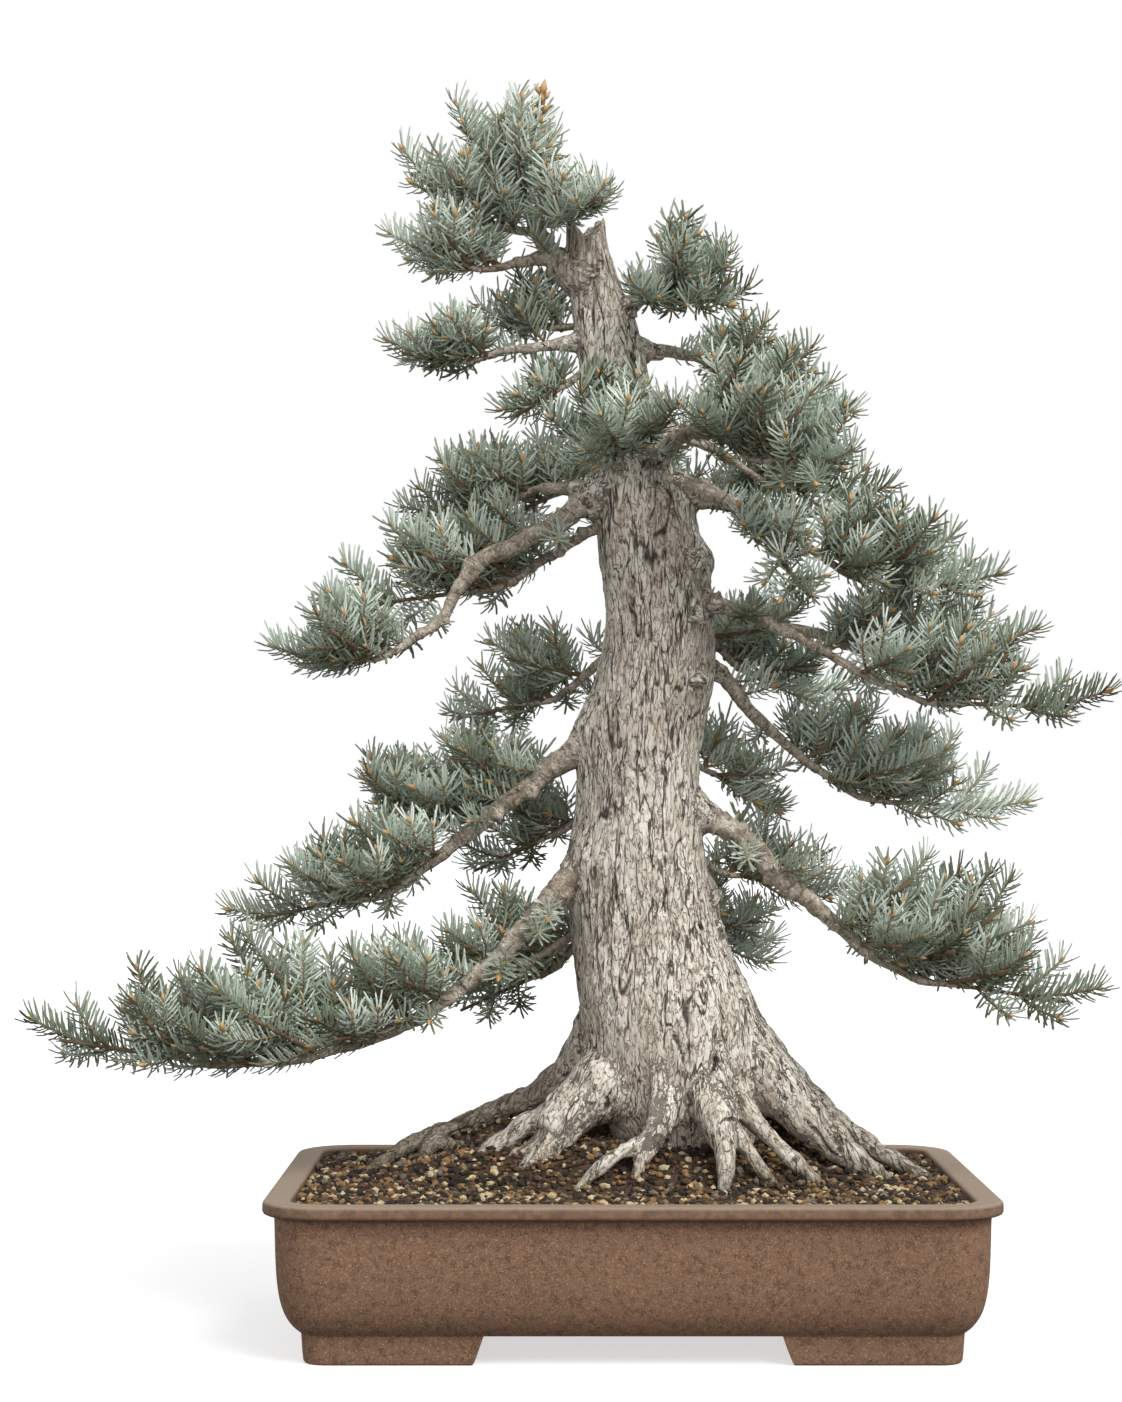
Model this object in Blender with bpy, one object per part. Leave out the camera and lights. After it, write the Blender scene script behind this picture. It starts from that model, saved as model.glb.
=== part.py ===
"""White fir bonsai in a rectangular clay pot, modelled as closed solids.

The tree is a tapering trunk with surface roots, its main boughs, and the masses of
foliage that the boughs carry. Each is one object. Units are metres, +Z is up, and the
side that is looked at is -Y. The origin is on the ground under the middle of the tree.
"""

import math
import random
from collections import namedtuple

import bmesh
import bpy
import numpy as np
from mathutils import Vector

MM = 0.001
UP = Vector((0, 0, 1))
BACK = Vector((0, 1, 0))
GOLDEN_TURN = 137.5
CURVE_SAMPLES = 12
# Clearance between pieces that meet, and how far a limb runs into its carrier's tip
# before it is cut back to that clearance.
GAP = 0.3 * MM
CLEARANCE = 1.2 * GAP
TIP_LAP = 2 * MM

# Pot
POT_LENGTH = 650 * MM
POT_DEPTH = 460 * MM
POT_HEIGHT = 142 * MM
POT_MIDDLE_X = 63 * MM
POT_CORNER = 56 * MM
FOOT_HEIGHT = 26 * MM
FOOT_BAND = 34 * MM
RIM_HEIGHT = 13 * MM
RIM_WIDTH = 25 * MM
RIM_ROUND = 3 * MM
RIM_UNDERCUT = 1.5 * MM
FLOOR_HEIGHT = 42 * MM
FLOOR_BEVEL = 14 * MM
LEAST_CORNER = 12 * MM
FOOT_LAP = 3 * MM
FOOT_EDGE = 2 * MM
# Inset of the outer wall from the rim's edge, at rising heights.
WALL_PROFILE = ((26, 34), (33, 26), (44, 19), (60, 14.5), (84, 12), (129, 10.5))
RECESS_LENGTH = 288 * MM
RECESS_DEPTH = 200 * MM
RECESS_SLANT = 14 * MM
CORNER_STEPS = 4

SOIL_LEVEL = 136 * MM
SOIL_EDGE_DROP = 3 * MM
SOIL_EDGE_WIDTH = 18 * MM

# Trunk: height, lean to the right, lean to the back and radius, in millimetres.
TRUNK = (
    (100, 117, 41, 58),
    (150, 117, 41, 63),
    (200, 115, 39, 76),
    (250, 110, 37, 84),
    (295, 101, 35, 84),
    (360, 85, 33, 73.5),
    (425, 77, 30, 66),
    (491, 75, 26, 58),
    (557, 76, 22, 58.5),
    (605, 87, 19, 56),
    (660, 91, 15, 50.5),
    (737, 82, 10, 49),
    (775, 76, 7, 44.5),
    (805, 66, 5, 38.5),
    (870, 54, 3, 34),
    (928, 45, 2, 29.5),
    (1004, 27, 1, 22),
    (1030, 24, 0, 18),
)
TRUNK_SIDES = 18
TRUNK_RINGS = 20
SNAG_SPIKE = 16 * MM
# Gentle lobes round the trunk: how many, how they twist with height, and their share.
LOBES = ((3, 11, 0.030), (5, -17, 0.022))

# Swellings on the trunk: height, angle round it, how far out, how tall and how wide.
SWELLINGS = (
    (817, -78, 11, 20, 24),
    (718, -5, 11, 16, 16),
    (676, -22, 6, 12, 30),
    (436, 205, 9, 24, 24),
    (555, 182, 7, 28, 24),
    (404, -4, 6, 16, 14),
    (776, 190, 6, 18, 18),
    (776, -10, 6, 14, 18),
)

# Surface roots: each leaves the trunk and runs down to the soil through points x, y, z, with a
# radius at each, in millimetres. A fork or finger starts inside the root that bears it.
ROOTS = {
    "left_long": ((52, 48, 306, 21), (28, 52, 262, 22), (-1, 70, 223, 17.5), (-32, 85, 203, 12),
                  (-89, 100, 179, 10), (-142, 88, 160, 8.5), (-187, 48, 137, 4.5)),
    "knob": ((-1, 0, 194, 11.5), (-44, 35, 164, 7.5), (-79, 45, 156, 7.5), (-103, 45, 162, 8),
             (-122, 40, 166, 12.5), (-129, 37, 148, 5.5)),
    "hand": ((68, 14, 285, 28), (52, 8, 247, 32), (29, -4, 217, 29), (2, -20, 194, 23.5),
             (-14, -30, 180, 15)),
    "finger_far": ((-5, 0, 200, 15), (-37, 0, 184, 10.5), (-69, 0, 161, 9), (-102, 3, 138, 4.5)),
    "finger_long": ((-7, -20, 181, 12), (-26, -20, 169, 9.5), (-46, -18, 157, 7.5), (-70, -12, 137, 4)),
    "finger_mid": ((-8, -35, 175, 11), (-23, -42, 164, 8.5), (-34, -48, 151, 7), (-42, -52, 137, 4.5)),
    "finger_near": ((10, -30, 186, 13), (-5, -36, 168, 8.5), (-12, -41, 142, 4.5)),
    "fork": ((107, 2, 248, 26.5), (100, -35, 214, 16), (88, -55, 191, 14), (75, -66, 178, 10)),
    "fork_left": ((84, -60, 184, 10), (61, -72, 174, 8), (34, -85, 157, 6.5), (11, -94, 137, 4)),
    "fork_right": ((87, -60, 184, 10), (75, -70, 165, 8.5), (64, -76, 136, 5.5)),
    "front": ((136, -5, 252, 28), (140, -40, 213, 19.5), (144, -64, 188, 15), (150, -82, 165, 10),
              (147, -96, 136, 5.5)),
    "front_twin": ((149, -45, 206, 14), (162, -57, 184, 9), (181, -65, 157, 7.5), (199, -69, 136, 4)),
    "front_right": ((152, 0, 245, 23.5), (167, -22, 210, 14), (187, -38, 185, 10.5),
                    (216, -50, 158, 8), (241, -56, 136, 3.5)),
    "right": ((108, 34, 365, 30), (148, 28, 296, 29), (193, 15, 233, 27), (227, 8, 197, 22.5),
              (259, 2, 168, 16), (307, -2, 136, 4.5)),
    "right_far": ((116, 52, 345, 24), (154, 60, 290, 25), (208, 60, 232, 21), (242, 55, 195, 17),
                  (286, 42, 166, 13), (347, 15, 136, 4.5)),
    "right_back": ((146, 62, 285, 20), (186, 76, 236, 21), (222, 90, 196, 16), (262, 106, 160, 11),
                   (304, 120, 137, 4.5)),
    "back_right": ((138, 70, 280, 20), (166, 92, 232, 21), (190, 122, 190, 16), (212, 152, 158, 11),
                   (236, 182, 137, 4.5)),
    "back": ((118, 84, 240, 24), (122, 130, 192, 17), (130, 160, 158, 11), (134, 188, 137, 4.5)),
    "back_left": ((80, 78, 240, 23), (50, 118, 188, 16), (28, 148, 157, 10), (4, 178, 137, 4.5)),
}
ROOT_SIDES = 5

# Boughs: where each leaves the trunk (height) or another bough (share of its length),
# its heading, its thickness at both ends, and how it runs as pairs of distance out and
# rise, all in millimetres from where it leaves.
Bough = namedtuple("Bough", "name carrier at heading base tip run")
BOUGHS = (
    Bough("bough_low_left", "trunk", 467, 194, 29, 16,
          ((51, -31), (94, -75), (119, -103), (148, -131), (172, -150))),
    Bough("bough_mid_left", "trunk", 585, 182, 29, 14,
          ((59, -37), (92, -62), (120, -89), (168, -122), (182, -133))),
    Bough("bough_upper_left", "trunk", 800, 199, 25, 15,
          ((42, -27), (76, -51), (120, -71), (158, -90))),
    Bough("bough_upper_left_outer", "bough_upper_left", 1.0, 197, 14, 8,
          ((20, -26), (33, -52), (60, -72))),
    Bough("bough_high_left", "trunk", 786, 168, 17, 9,
          ((44, 0), (70, 3), (94, 3))),
    Bough("bough_top_left", "trunk", 931, 187, 13, 7,
          ((30, -7), (66, -12), (100, -17))),
    Bough("leader", "trunk", 982, 180, 26, 13,
          ((21, 6), (40, 25), (55, 40), (60, 64))),
    Bough("leader_left", "leader", 0.5, 187, 15, 9,
          ((20, -4), (38, -8))),
    Bough("bough_top_right", "trunk", 940, -25, 16, 9,
          ((14, 10), (28, 20), (42, 27))),
    Bough("bough_high_right", "trunk", 923, 8, 15, 9,
          ((30, -3), (54, -10), (84, -11))),
    Bough("bough_front", "trunk", 812, -50, 24, 11,
          ((38, 4), (66, 16), (96, 19))),
    Bough("bough_right_slim", "trunk", 846, 5, 14, 8,
          ((43, -5), (70, -14), (108, -35))),
    Bough("bough_right", "trunk", 787, -12, 20, 10,
          ((49, -4), (78, -11), (115, -29), (150, -51))),
    Bough("bough_right_long", "trunk", 692, -16, 18, 10,
          ((54, -15), (91, -27), (134, -46))),
    Bough("bough_mid_right", "trunk", 637, 22, 18, 11,
          ((61, -22), (80, -40), (104, -68), (124, -82))),
    Bough("bough_low_right", "trunk", 507, -12, 26, 16,
          ((69, -35), (105, -60), (143, -95), (172, -120))),
    Bough("bough_low_back", "trunk", 452, 86, 20, 11,
          ((60, -8), (85, -17), (106, -24))),
    Bough("bough_mid_back", "trunk", 590, 96, 18, 10,
          ((60, -6), (80, -11), (98, -15))),
)
BOUGH_SIDES = 6
BOUGH_STEP = 38 * MM
COLLAR_SWELL = 0.45
COLLAR_LENGTH = 16 * MM

# Foliage masses: carrier and place on it, heading, how far the tip is out and up from
# the stem's start, half width, height above the stem, bare share of the stem and the
# number of side twigs. Lengths in millimetres.
Mass = namedtuple("Mass", "name carrier at heading reach rise width loft bare twigs")
MASSES = (
    Mass("foliage_low_left", "bough_low_left", 1.0, 188, 396, -32, 90, 108, 0.02, 19),
    Mass("foliage_low_left_inner", "trunk", 392, 166, 262, -42, 70, 62, 0.36, 7),
    Mass("foliage_mid_left", "bough_mid_left", 1.0, 183, 218, -38, 84, 62, 0.02, 10),
    Mass("foliage_mid_left_top", "trunk", 540, 171, 348, -48, 84, 60, 0.40, 11),
    Mass("foliage_mid_left_low", "trunk", 520, 146, 220, -62, 60, 52, 0.42, 5),
    Mass("foliage_upper_left", "trunk", 758, 183, 305, -54, 86, 70, 0.14, 12),
    Mass("foliage_upper_left_outer", "bough_upper_left_outer", 1.0, 197, 122, 10, 74, 60, 0.02, 7),
    Mass("foliage_high_left", "bough_high_left", 1.0, 172, 134, 14, 66, 56, 0.02, 7),
    Mass("foliage_top_left", "bough_top_left", 1.0, 186, 104, 24, 52, 36, 0.02, 5),
    Mass("foliage_top_left_upper", "trunk", 944, 170, 116, 26, 56, 44, 0.28, 5),
    Mass("foliage_top_left_stub", "trunk", 918, 200, 112, -46, 26, 16, 0.72, 1),
    Mass("foliage_apex", "leader", 1.0, 180, 20, 108, 84, 84, 0.04, 10),
    Mass("foliage_apex_left", "leader", 0.8, 181, 124, 84, 54, 54, 0.20, 6),
    Mass("foliage_leader_left", "leader_left", 1.0, 186, 108, 42, 62, 54, 0.02, 7),
    Mass("foliage_leader_right", "leader", 0.9, -54, 106, 34, 54, 46, 0.12, 6),
    Mass("foliage_top_right", "bough_top_right", 1.0, -46, 84, 16, 70, 66, 0.02, 8),
    Mass("foliage_high_right", "bough_high_right", 1.0, 6, 148, -12, 68, 46, 0.02, 7),
    Mass("foliage_front_right", "bough_front", 1.0, -54, 230, 0, 84, 62, 0.02, 11),
    Mass("foliage_front_left", "trunk", 836, -94, 226, 14, 76, 58, 0.26, 9),
    Mass("foliage_right_slim", "bough_right_slim", 1.0, 4, 142, 4, 58, 38, 0.02, 5),
    Mass("foliage_right", "bough_right", 1.0, -10, 196, -14, 80, 68, 0.02, 10),
    Mass("foliage_right_low", "bough_right", 0.72, -58, 118, -48, 66, 34, 0.22, 3),
    Mass("foliage_right_inner", "trunk", 806, 18, 182, -14, 50, 38, 0.30, 4),
    Mass("foliage_right_long", "bough_right_long", 1.0, -15, 286, -46, 86, 72, 0.02, 11),
    Mass("foliage_right_long_top", "bough_right_long", 0.78, 8, 252, 20, 62, 42, 0.40, 5),
    Mass("foliage_mid_right", "bough_mid_right", 1.0, 20, 262, -50, 86, 74, 0.02, 11),
    Mass("foliage_mid_right_inner", "trunk", 580, 47, 206, -62, 62, 56, 0.34, 5),
    Mass("foliage_low_right", "bough_low_right", 1.0, -11, 256, -54, 90, 104, 0.02, 14),
    Mass("foliage_low_right_inner", "trunk", 462, 26, 222, -24, 66, 62, 0.46, 6),
    Mass("foliage_low_back", "bough_low_back", 1.0, 88, 116, 4, 74, 54, 0.02, 5),
    Mass("foliage_mid_back", "bough_mid_back", 1.0, 96, 120, 4, 70, 50, 0.02, 5),
    Mass("foliage_back_left_mid", "trunk", 652, 140, 282, -46, 76, 56, 0.34, 5),
    Mass("foliage_upper_back", "trunk", 726, 82, 212, -18, 68, 52, 0.28, 5),
    Mass("foliage_high_back", "trunk", 862, 74, 190, -12, 66, 54, 0.26, 5),
    Mass("foliage_back_left_low", "trunk", 408, 146, 244, -96, 76, 58, 0.34, 6),
    Mass("foliage_back_left_high", "trunk", 836, 134, 226, -36, 68, 54, 0.28, 4),
    Mass("foliage_back_right_low", "trunk", 430, 60, 258, -60, 76, 58, 0.34, 6),
    Mass("foliage_back_right_high", "trunk", 690, 44, 266, -66, 72, 52, 0.46, 5),
)
STEM_SIDES = 4
STEM_STEP = 46 * MM
STEM_TIP = 2.2 * MM
# A stem starts at a share of its bough's tip, or at a radius that grows with its reach.
STEM_OF_TIP = 0.92
TRUNK_STEM_RADIUS = 6.5 * MM
TRUNK_STEM_LEAST = 3.6 * MM
FULL_REACH = 250
TWIG_RADIUS = 2.4 * MM
TIP_LIFT = 0.34
ROLLS = (72, -66, 26, -34, 92, -86, 48, -8)
TWIG_JITTER = 0.3
LEAFY_END = 0.97
# A mass is narrower at its root and towards its tip.
HULL_ROOT = 0.62
HULL_OPENING = 1.3
HULL_SHOULDER = 0.45
HULL_CLOSING = 0.52
# Spread of a side twig from the stem, in degrees, at the root and what it loses to the tip.
SPREAD = 62
SPREAD_LOSS = 24

# Balls that keep limbs and masses apart: their spacing, and how far they stand off.
BALL_STEP = 8 * MM
TRUNK_BALL_STEP = 12 * MM
TRUNK_MARGIN = 6 * MM
ROOT_MARGIN = 3 * MM
LIMB_MARGIN = 2 * MM

# Sprays of needles
SPRAY_LONGEST = 128 * MM
SPRAY_SHORTEST = 64 * MM
SPRAY_SHARE = 0.28
SPRAY_OF_STEM = 0.62
SPRAY_WIDTH = 0.64
SPRAY_THICK = 0.052
SPRAY_ROOT = 11 * MM
SPRAY_SINK = 1.5 * MM
SPRAY_LEAST = 0.7
SPRAY_KEEP = 5 * MM
# A spray that would touch a neighbour is rolled or shortened before it is left out.
SPRAY_TRIES = ((1, 1), (-1, 1), (0.2, 0.86), (1, 0.72), (-1, 0.72))
SPRAY_ROLL = 48
# Width and thickness are shares of a spray's length. Each tooth: the share of the length
# and of the half width at its point and at its notch. The two hubs are on its midrib.
TEETH = ((0.42, 0.96, 0.40, 0.30), (0.78, 0.80, 0.72, 0.26))
HUBS = (0.28, 0.66)
HUB_SPLIT = 2


def clear_scene():
    for thing in list(bpy.data.objects):
        bpy.data.objects.remove(thing)


def material(name, colour, roughness, metallic=0.0):
    """A plain Principled material."""
    made = bpy.data.materials.new(name)
    made.use_nodes = True
    surface = made.node_tree.nodes["Principled BSDF"]
    surface.inputs["Base Color"].default_value = (*colour, 1)
    surface.inputs["Roughness"].default_value = roughness
    surface.inputs["Metallic"].default_value = metallic
    made.diffuse_color = (*colour, 1)
    return made


def add_object(name, shape, finish=None):
    """Turn a bmesh into an object in the scene, in triangles that keep their diagonals."""
    bmesh.ops.triangulate(shape, faces=shape.faces, quad_method="FIXED")
    bmesh.ops.recalc_face_normals(shape, faces=shape.faces)
    mesh = bpy.data.meshes.new(name)
    shape.to_mesh(mesh)
    shape.free()
    thing = bpy.data.objects.new(name, mesh)
    bpy.context.scene.collection.objects.link(thing)
    if finish:
        mesh.materials.append(finish)
    return thing


def hide_helper(thing):
    thing.hide_render = True
    thing.display_type = "WIRE"


def boolean(thing, operation, other, solver="EXACT"):
    """Add a Boolean with another object, or with a collection of them."""
    modifier = thing.modifiers.new(operation.title(), "BOOLEAN")
    modifier.operation = operation
    modifier.solver = solver
    if isinstance(other, bpy.types.Collection):
        modifier.operand_type = "COLLECTION"
        modifier.collection = other
    else:
        modifier.object = other
    return modifier


def apply_modifiers(thing):
    graph = bpy.context.evaluated_depsgraph_get()
    mesh = bpy.data.meshes.new_from_object(thing.evaluated_get(graph))
    thing.modifiers.clear()
    thing.data = mesh


def keep_largest_shell(thing):
    """Drop the loose scraps and the sealed hollows that a union leaves."""
    shape = bmesh.new()
    shape.from_mesh(thing.data)
    unseen = set(shape.verts)
    shells = []
    while unseen:
        front = [unseen.pop()]
        shell = set(front)
        while front:
            for edge in front.pop().link_edges:
                for vertex in edge.verts:
                    if vertex in unseen:
                        unseen.discard(vertex)
                        shell.add(vertex)
                        front.append(vertex)
        shells.append(shell)
    shells.sort(key=len)
    for shell in shells[:-1]:
        bmesh.ops.delete(shape, geom=list(shell), context="VERTS")
    shape.to_mesh(thing.data)
    shape.free()


def fuse(base, parts, solver="EXACT"):
    """Join the parts into the base with one Boolean union on a collection."""
    group = bpy.data.collections.new(base.name + "_parts")
    for part in parts:
        bpy.context.scene.collection.objects.unlink(part)
        group.objects.link(part)
    boolean(base, "UNION", group, solver)
    apply_modifiers(base)
    for part in parts:
        bpy.data.objects.remove(part)
    bpy.data.collections.remove(group)
    keep_largest_shell(base)
    return base


def cut_clear(thing, cutter):
    """Cut a piece back to where its neighbour's clearance ends."""
    boolean(thing, "DIFFERENCE", cutter)
    apply_modifiers(thing)
    keep_largest_shell(thing)


def heading_vector(degrees):
    angle = math.radians(degrees)
    return Vector((math.cos(angle), math.sin(angle), 0))


def catmull(before, start, end, after, share):
    """A point of the smooth curve between start and end."""
    a = 2 * start
    b = end - before
    c = 2 * before - 5 * start + 4 * end - after
    d = 3 * start - before - 3 * end + after
    return (a + share * (b + share * (c + share * d))) / 2


def smooth_path(points, step):
    """Points about a step apart along a smooth curve through the given ones."""
    ends = [2 * points[0] - points[1], *points, 2 * points[-1] - points[-2]]
    fine = []
    for before, start, end, after in zip(ends, ends[1:], ends[2:], ends[3:]):
        shares = [index / CURVE_SAMPLES for index in range(CURVE_SAMPLES)]
        fine += [catmull(before, start, end, after, share) for share in shares]
    fine.append(points[-1])
    travelled = [0.0]
    for start, end in zip(fine, fine[1:]):
        travelled.append(travelled[-1] + (end - start).length)
    count = max(2, round(travelled[-1] / step))
    columns = [
        np.interp(np.linspace(0, travelled[-1], count + 1), travelled, [point[axis] for point in fine])
        for axis in range(3)
    ]
    return [Vector(point) for point in zip(*columns)]


def path_length(path):
    return sum((end - start).length for start, end in zip(path, path[1:]))


def place_on(path, share):
    """The point and the direction at a share of a path's length."""
    left = share * path_length(path)
    for start, end in zip(path[:-2], path[1:-1]):
        stretch = (end - start).length
        if left <= stretch:
            return start.lerp(end, left / stretch), (end - start).normalized()
        left -= stretch
    start, end = path[-2:]
    return start.lerp(end, min(1.0, left / (end - start).length)), (end - start).normalized()


def directions(path):
    steps = [(end - start).normalized() for start, end in zip(path, path[1:])]
    middle = [(a + b).normalized() for a, b in zip(steps, steps[1:])]
    return [steps[0], *middle, steps[-1]]


def tube(name, path, radii, sides, finish=None):
    """A closed limb of round rings, square to its path."""
    shape = bmesh.new()
    across = UP.cross(directions(path)[0])
    if across.length < 0.1:
        across = BACK
    rings = []
    for point, along, radius in zip(path, directions(path), radii):
        across = (across - across.project(along)).normalized()
        over = along.cross(across)
        turns = [2 * math.pi * side / sides for side in range(sides)]
        rings.append([
            shape.verts.new(point + radius * (math.cos(turn) * across + math.sin(turn) * over))
            for turn in turns
        ])
    for lower, upper in zip(rings, rings[1:]):
        for side in range(sides):
            after = (side + 1) % sides
            shape.faces.new((lower[side], lower[after], upper[after], upper[side]))
    shape.faces.new(rings[0][::-1])
    shape.faces.new(rings[-1])
    return add_object(name, shape, finish)


# Trunk and roots


def trunk_at(height):
    """Middle of the trunk and its radius at a height."""
    rows = [np.array(row) * MM for row in TRUNK]
    rows = [2 * rows[0] - rows[1], *rows, 2 * rows[-1] - rows[-2]]
    index = 1
    while index < len(rows) - 3 and rows[index + 1][0] < height:
        index += 1
    before, start, end, after = rows[index - 1 : index + 3]
    share = min(1.0, max(0.0, (height - start[0]) / (end[0] - start[0])))
    _, x, y, radius = catmull(before, start, end, after, share)
    return Vector((x, y, height)), float(radius)


def trunk_radius(height, angle):
    """Radius with the gentle lobes and the named swellings."""
    radius = trunk_at(height)[1]
    lobes = sum(share * math.sin(count * angle + twist * height) for count, twist, share in LOBES)
    out = radius * (1 + lobes)
    for level, turn, swell, tall, wide in SWELLINGS:
        off = math.remainder(angle - math.radians(turn), 2 * math.pi) * radius
        up = (height - level * MM) / (tall * MM)
        out += swell * MM * math.exp(-(up**2) - (off / (wide * MM)) ** 2)
    return out


def trunk_column(name, grow):
    """The trunk alone, with its broken top."""
    low, high = TRUNK[0][0] * MM, TRUNK[-1][0] * MM
    shape = bmesh.new()
    rings = []
    for ring in range(TRUNK_RINGS + 1):
        height = low + (high - low) * ring / TRUNK_RINGS
        middle, _ = trunk_at(height)
        row = []
        for side in range(TRUNK_SIDES):
            angle = 2 * math.pi * side / TRUNK_SIDES
            point = middle + (trunk_radius(height, angle) + grow) * heading_vector(math.degrees(angle))
            if ring == TRUNK_RINGS:
                point.z += SNAG_SPIKE * max(0.0, math.cos(2 * angle)) ** 2 * (0.7 + 0.3 * math.cos(angle))
            row.append(shape.verts.new(point))
        rings.append(row)
    for lower, upper in zip(rings, rings[1:]):
        for side in range(TRUNK_SIDES):
            after = (side + 1) % TRUNK_SIDES
            shape.faces.new((lower[side], lower[after], upper[after], upper[side]))
    shape.faces.new(rings[0][::-1])
    hollow = shape.verts.new(trunk_at(high)[0] - Vector((0, 0, 0.3 * SNAG_SPIKE)))
    for side in range(TRUNK_SIDES):
        shape.faces.new((rings[-1][side], rings[-1][(side + 1) % TRUNK_SIDES], hollow))
    return add_object(name, shape)


def root_line(name):
    """A root's points and radii, in metres."""
    points = ROOTS[name]
    return [Vector(point[:3]) * MM for point in points], [point[3] * MM for point in points]


def trunk_solid(name, grow, finish=None):
    """Trunk and surface roots as one solid, cut flat where it meets the soil."""
    column = trunk_column(name, grow)
    roots = []
    for root in ROOTS:
        path, radii = root_line(root)
        roots.append(tube(root, path, [radius + grow for radius in radii], ROOT_SIDES))
    fuse(column, roots)
    below = bmesh.new()
    bmesh.ops.create_cube(below, size=1.0)
    bmesh.ops.translate(below, verts=below.verts, vec=(0, 0, SOIL_LEVEL + GAP - grow - 0.5))
    ground = add_object("ground", below)
    cut_clear(column, ground)
    bpy.data.objects.remove(ground)
    if finish:
        column.data.materials.clear()
        column.data.materials.append(finish)
    return column


# Pot and soil


def rounded_outline(half_length, half_depth, corner):
    """Points round a rectangle whose corners are arcs."""
    points = []
    for quarter in range(4):
        sign_x = 1 if quarter in (0, 3) else -1
        sign_y = 1 if quarter in (0, 1) else -1
        middle = Vector((sign_x * (half_length - corner), sign_y * (half_depth - corner), 0))
        for step in range(CORNER_STEPS + 1):
            middle_angle = 90 * (quarter + step / CORNER_STEPS)
            points.append(middle + corner * heading_vector(middle_angle))
    return points


def outline_loop(shape, inset, height):
    corner = max(POT_CORNER - inset, LEAST_CORNER)
    outline = rounded_outline(POT_LENGTH / 2 - inset, POT_DEPTH / 2 - inset, corner)
    return [shape.verts.new(point + Vector((POT_MIDDLE_X, 0, height))) for point in outline]


def loft(shape, loops, closed_ring=False):
    """Skin a row of loops, with a face on both ends unless they close on themselves."""
    pairs = list(zip(loops, loops[1:]))
    if closed_ring:
        pairs.append((loops[-1], loops[0]))
    for lower, upper in pairs:
        for index in range(len(lower)):
            after = (index + 1) % len(lower)
            shape.faces.new((lower[index], lower[after], upper[after], upper[index]))
    if not closed_ring:
        shape.faces.new(loops[0][::-1])
        shape.faces.new(loops[-1])


def box(name, size, middle, slant=0.0):
    """A box whose upper edges along Y are drawn in by the slant."""
    shape = bmesh.new()
    bmesh.ops.create_cube(shape, size=1.0)
    for vertex in shape.verts:
        share = 1 - 2 * slant / size[0] if vertex.co.z > 0 else 1
        vertex.co = Vector((vertex.co.x * size[0] * share, vertex.co.y * size[1], vertex.co.z * size[2]))
        vertex.co += Vector(middle)
    return add_object(name, shape)


def pot_body(finish):
    shape = bmesh.new()
    loops = [outline_loop(shape, inset * MM, height * MM) for height, inset in WALL_PROFILE]
    rim_bottom = POT_HEIGHT - RIM_HEIGHT
    loops += [
        outline_loop(shape, RIM_UNDERCUT, rim_bottom + RIM_UNDERCUT),
        outline_loop(shape, 0, rim_bottom + RIM_UNDERCUT + RIM_ROUND),
        outline_loop(shape, 0, POT_HEIGHT - RIM_ROUND),
        outline_loop(shape, RIM_ROUND, POT_HEIGHT),
        outline_loop(shape, RIM_WIDTH, POT_HEIGHT),
        outline_loop(shape, RIM_WIDTH, FLOOR_HEIGHT + FLOOR_BEVEL),
        outline_loop(shape, RIM_WIDTH + FLOOR_BEVEL, FLOOR_HEIGHT),
    ]
    loft(shape, loops)
    return add_object("pot", shape, finish)


def foot_ring():
    """A band under the wall, which the recesses divide into four corner feet."""
    shape = bmesh.new()
    outer = WALL_PROFILE[0][1] * MM
    top = FOOT_HEIGHT + FOOT_LAP
    loft(shape, [
        outline_loop(shape, outer + FOOT_EDGE / 2, top),
        outline_loop(shape, outer + FOOT_EDGE, FOOT_EDGE),
        outline_loop(shape, outer + 2 * FOOT_EDGE, 0),
        outline_loop(shape, outer + FOOT_BAND, 0),
        outline_loop(shape, outer + FOOT_BAND, top),
    ], closed_ring=True)
    return add_object("foot_ring", shape)


def recess_cutter(name, length, along_x):
    """The gap between two feet, right under the pot from side to side."""
    across = 1.2 * POT_LENGTH
    tall = 2 * FOOT_HEIGHT
    cutter = box(name, (length, across, tall), (0, 0, 0), RECESS_SLANT)
    for vertex in cutter.data.vertices:
        if not along_x:
            vertex.co = Vector((vertex.co.y, -vertex.co.x, vertex.co.z))
        vertex.co.x += POT_MIDDLE_X
    return cutter


def make_pot(finish):
    """The pot: walls, rim and four feet that wrap its corners."""
    feet = foot_ring()
    recesses = (("recess_long", RECESS_LENGTH, True), ("recess_short", RECESS_DEPTH, False))
    for name, length, along_x in recesses:
        cutter = recess_cutter(name, length, along_x)
        boolean(feet, "DIFFERENCE", cutter)
        apply_modifiers(feet)
        bpy.data.objects.remove(cutter)
    body = pot_body(finish)
    fuse(body, [feet])
    return body


def make_soil(finish):
    """The soil that fills the pot, a little lower at its edge than at the trunk."""
    shape = bmesh.new()
    loft(shape, [
        outline_loop(shape, RIM_WIDTH + FLOOR_BEVEL + GAP, FLOOR_HEIGHT + GAP),
        outline_loop(shape, RIM_WIDTH + GAP, FLOOR_HEIGHT + FLOOR_BEVEL + GAP),
        outline_loop(shape, RIM_WIDTH + GAP, SOIL_LEVEL - SOIL_EDGE_DROP),
        outline_loop(shape, RIM_WIDTH + SOIL_EDGE_WIDTH, SOIL_LEVEL),
    ])
    return add_object("soil", shape, finish)


# Boughs


def carrier_start(carrier, at, limbs):
    """Where a limb leaves its carrier, and the carrier's direction there."""
    if carrier == "trunk":
        return trunk_at(at * MM)[0], UP
    return place_on(limbs[carrier][0], at)


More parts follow.
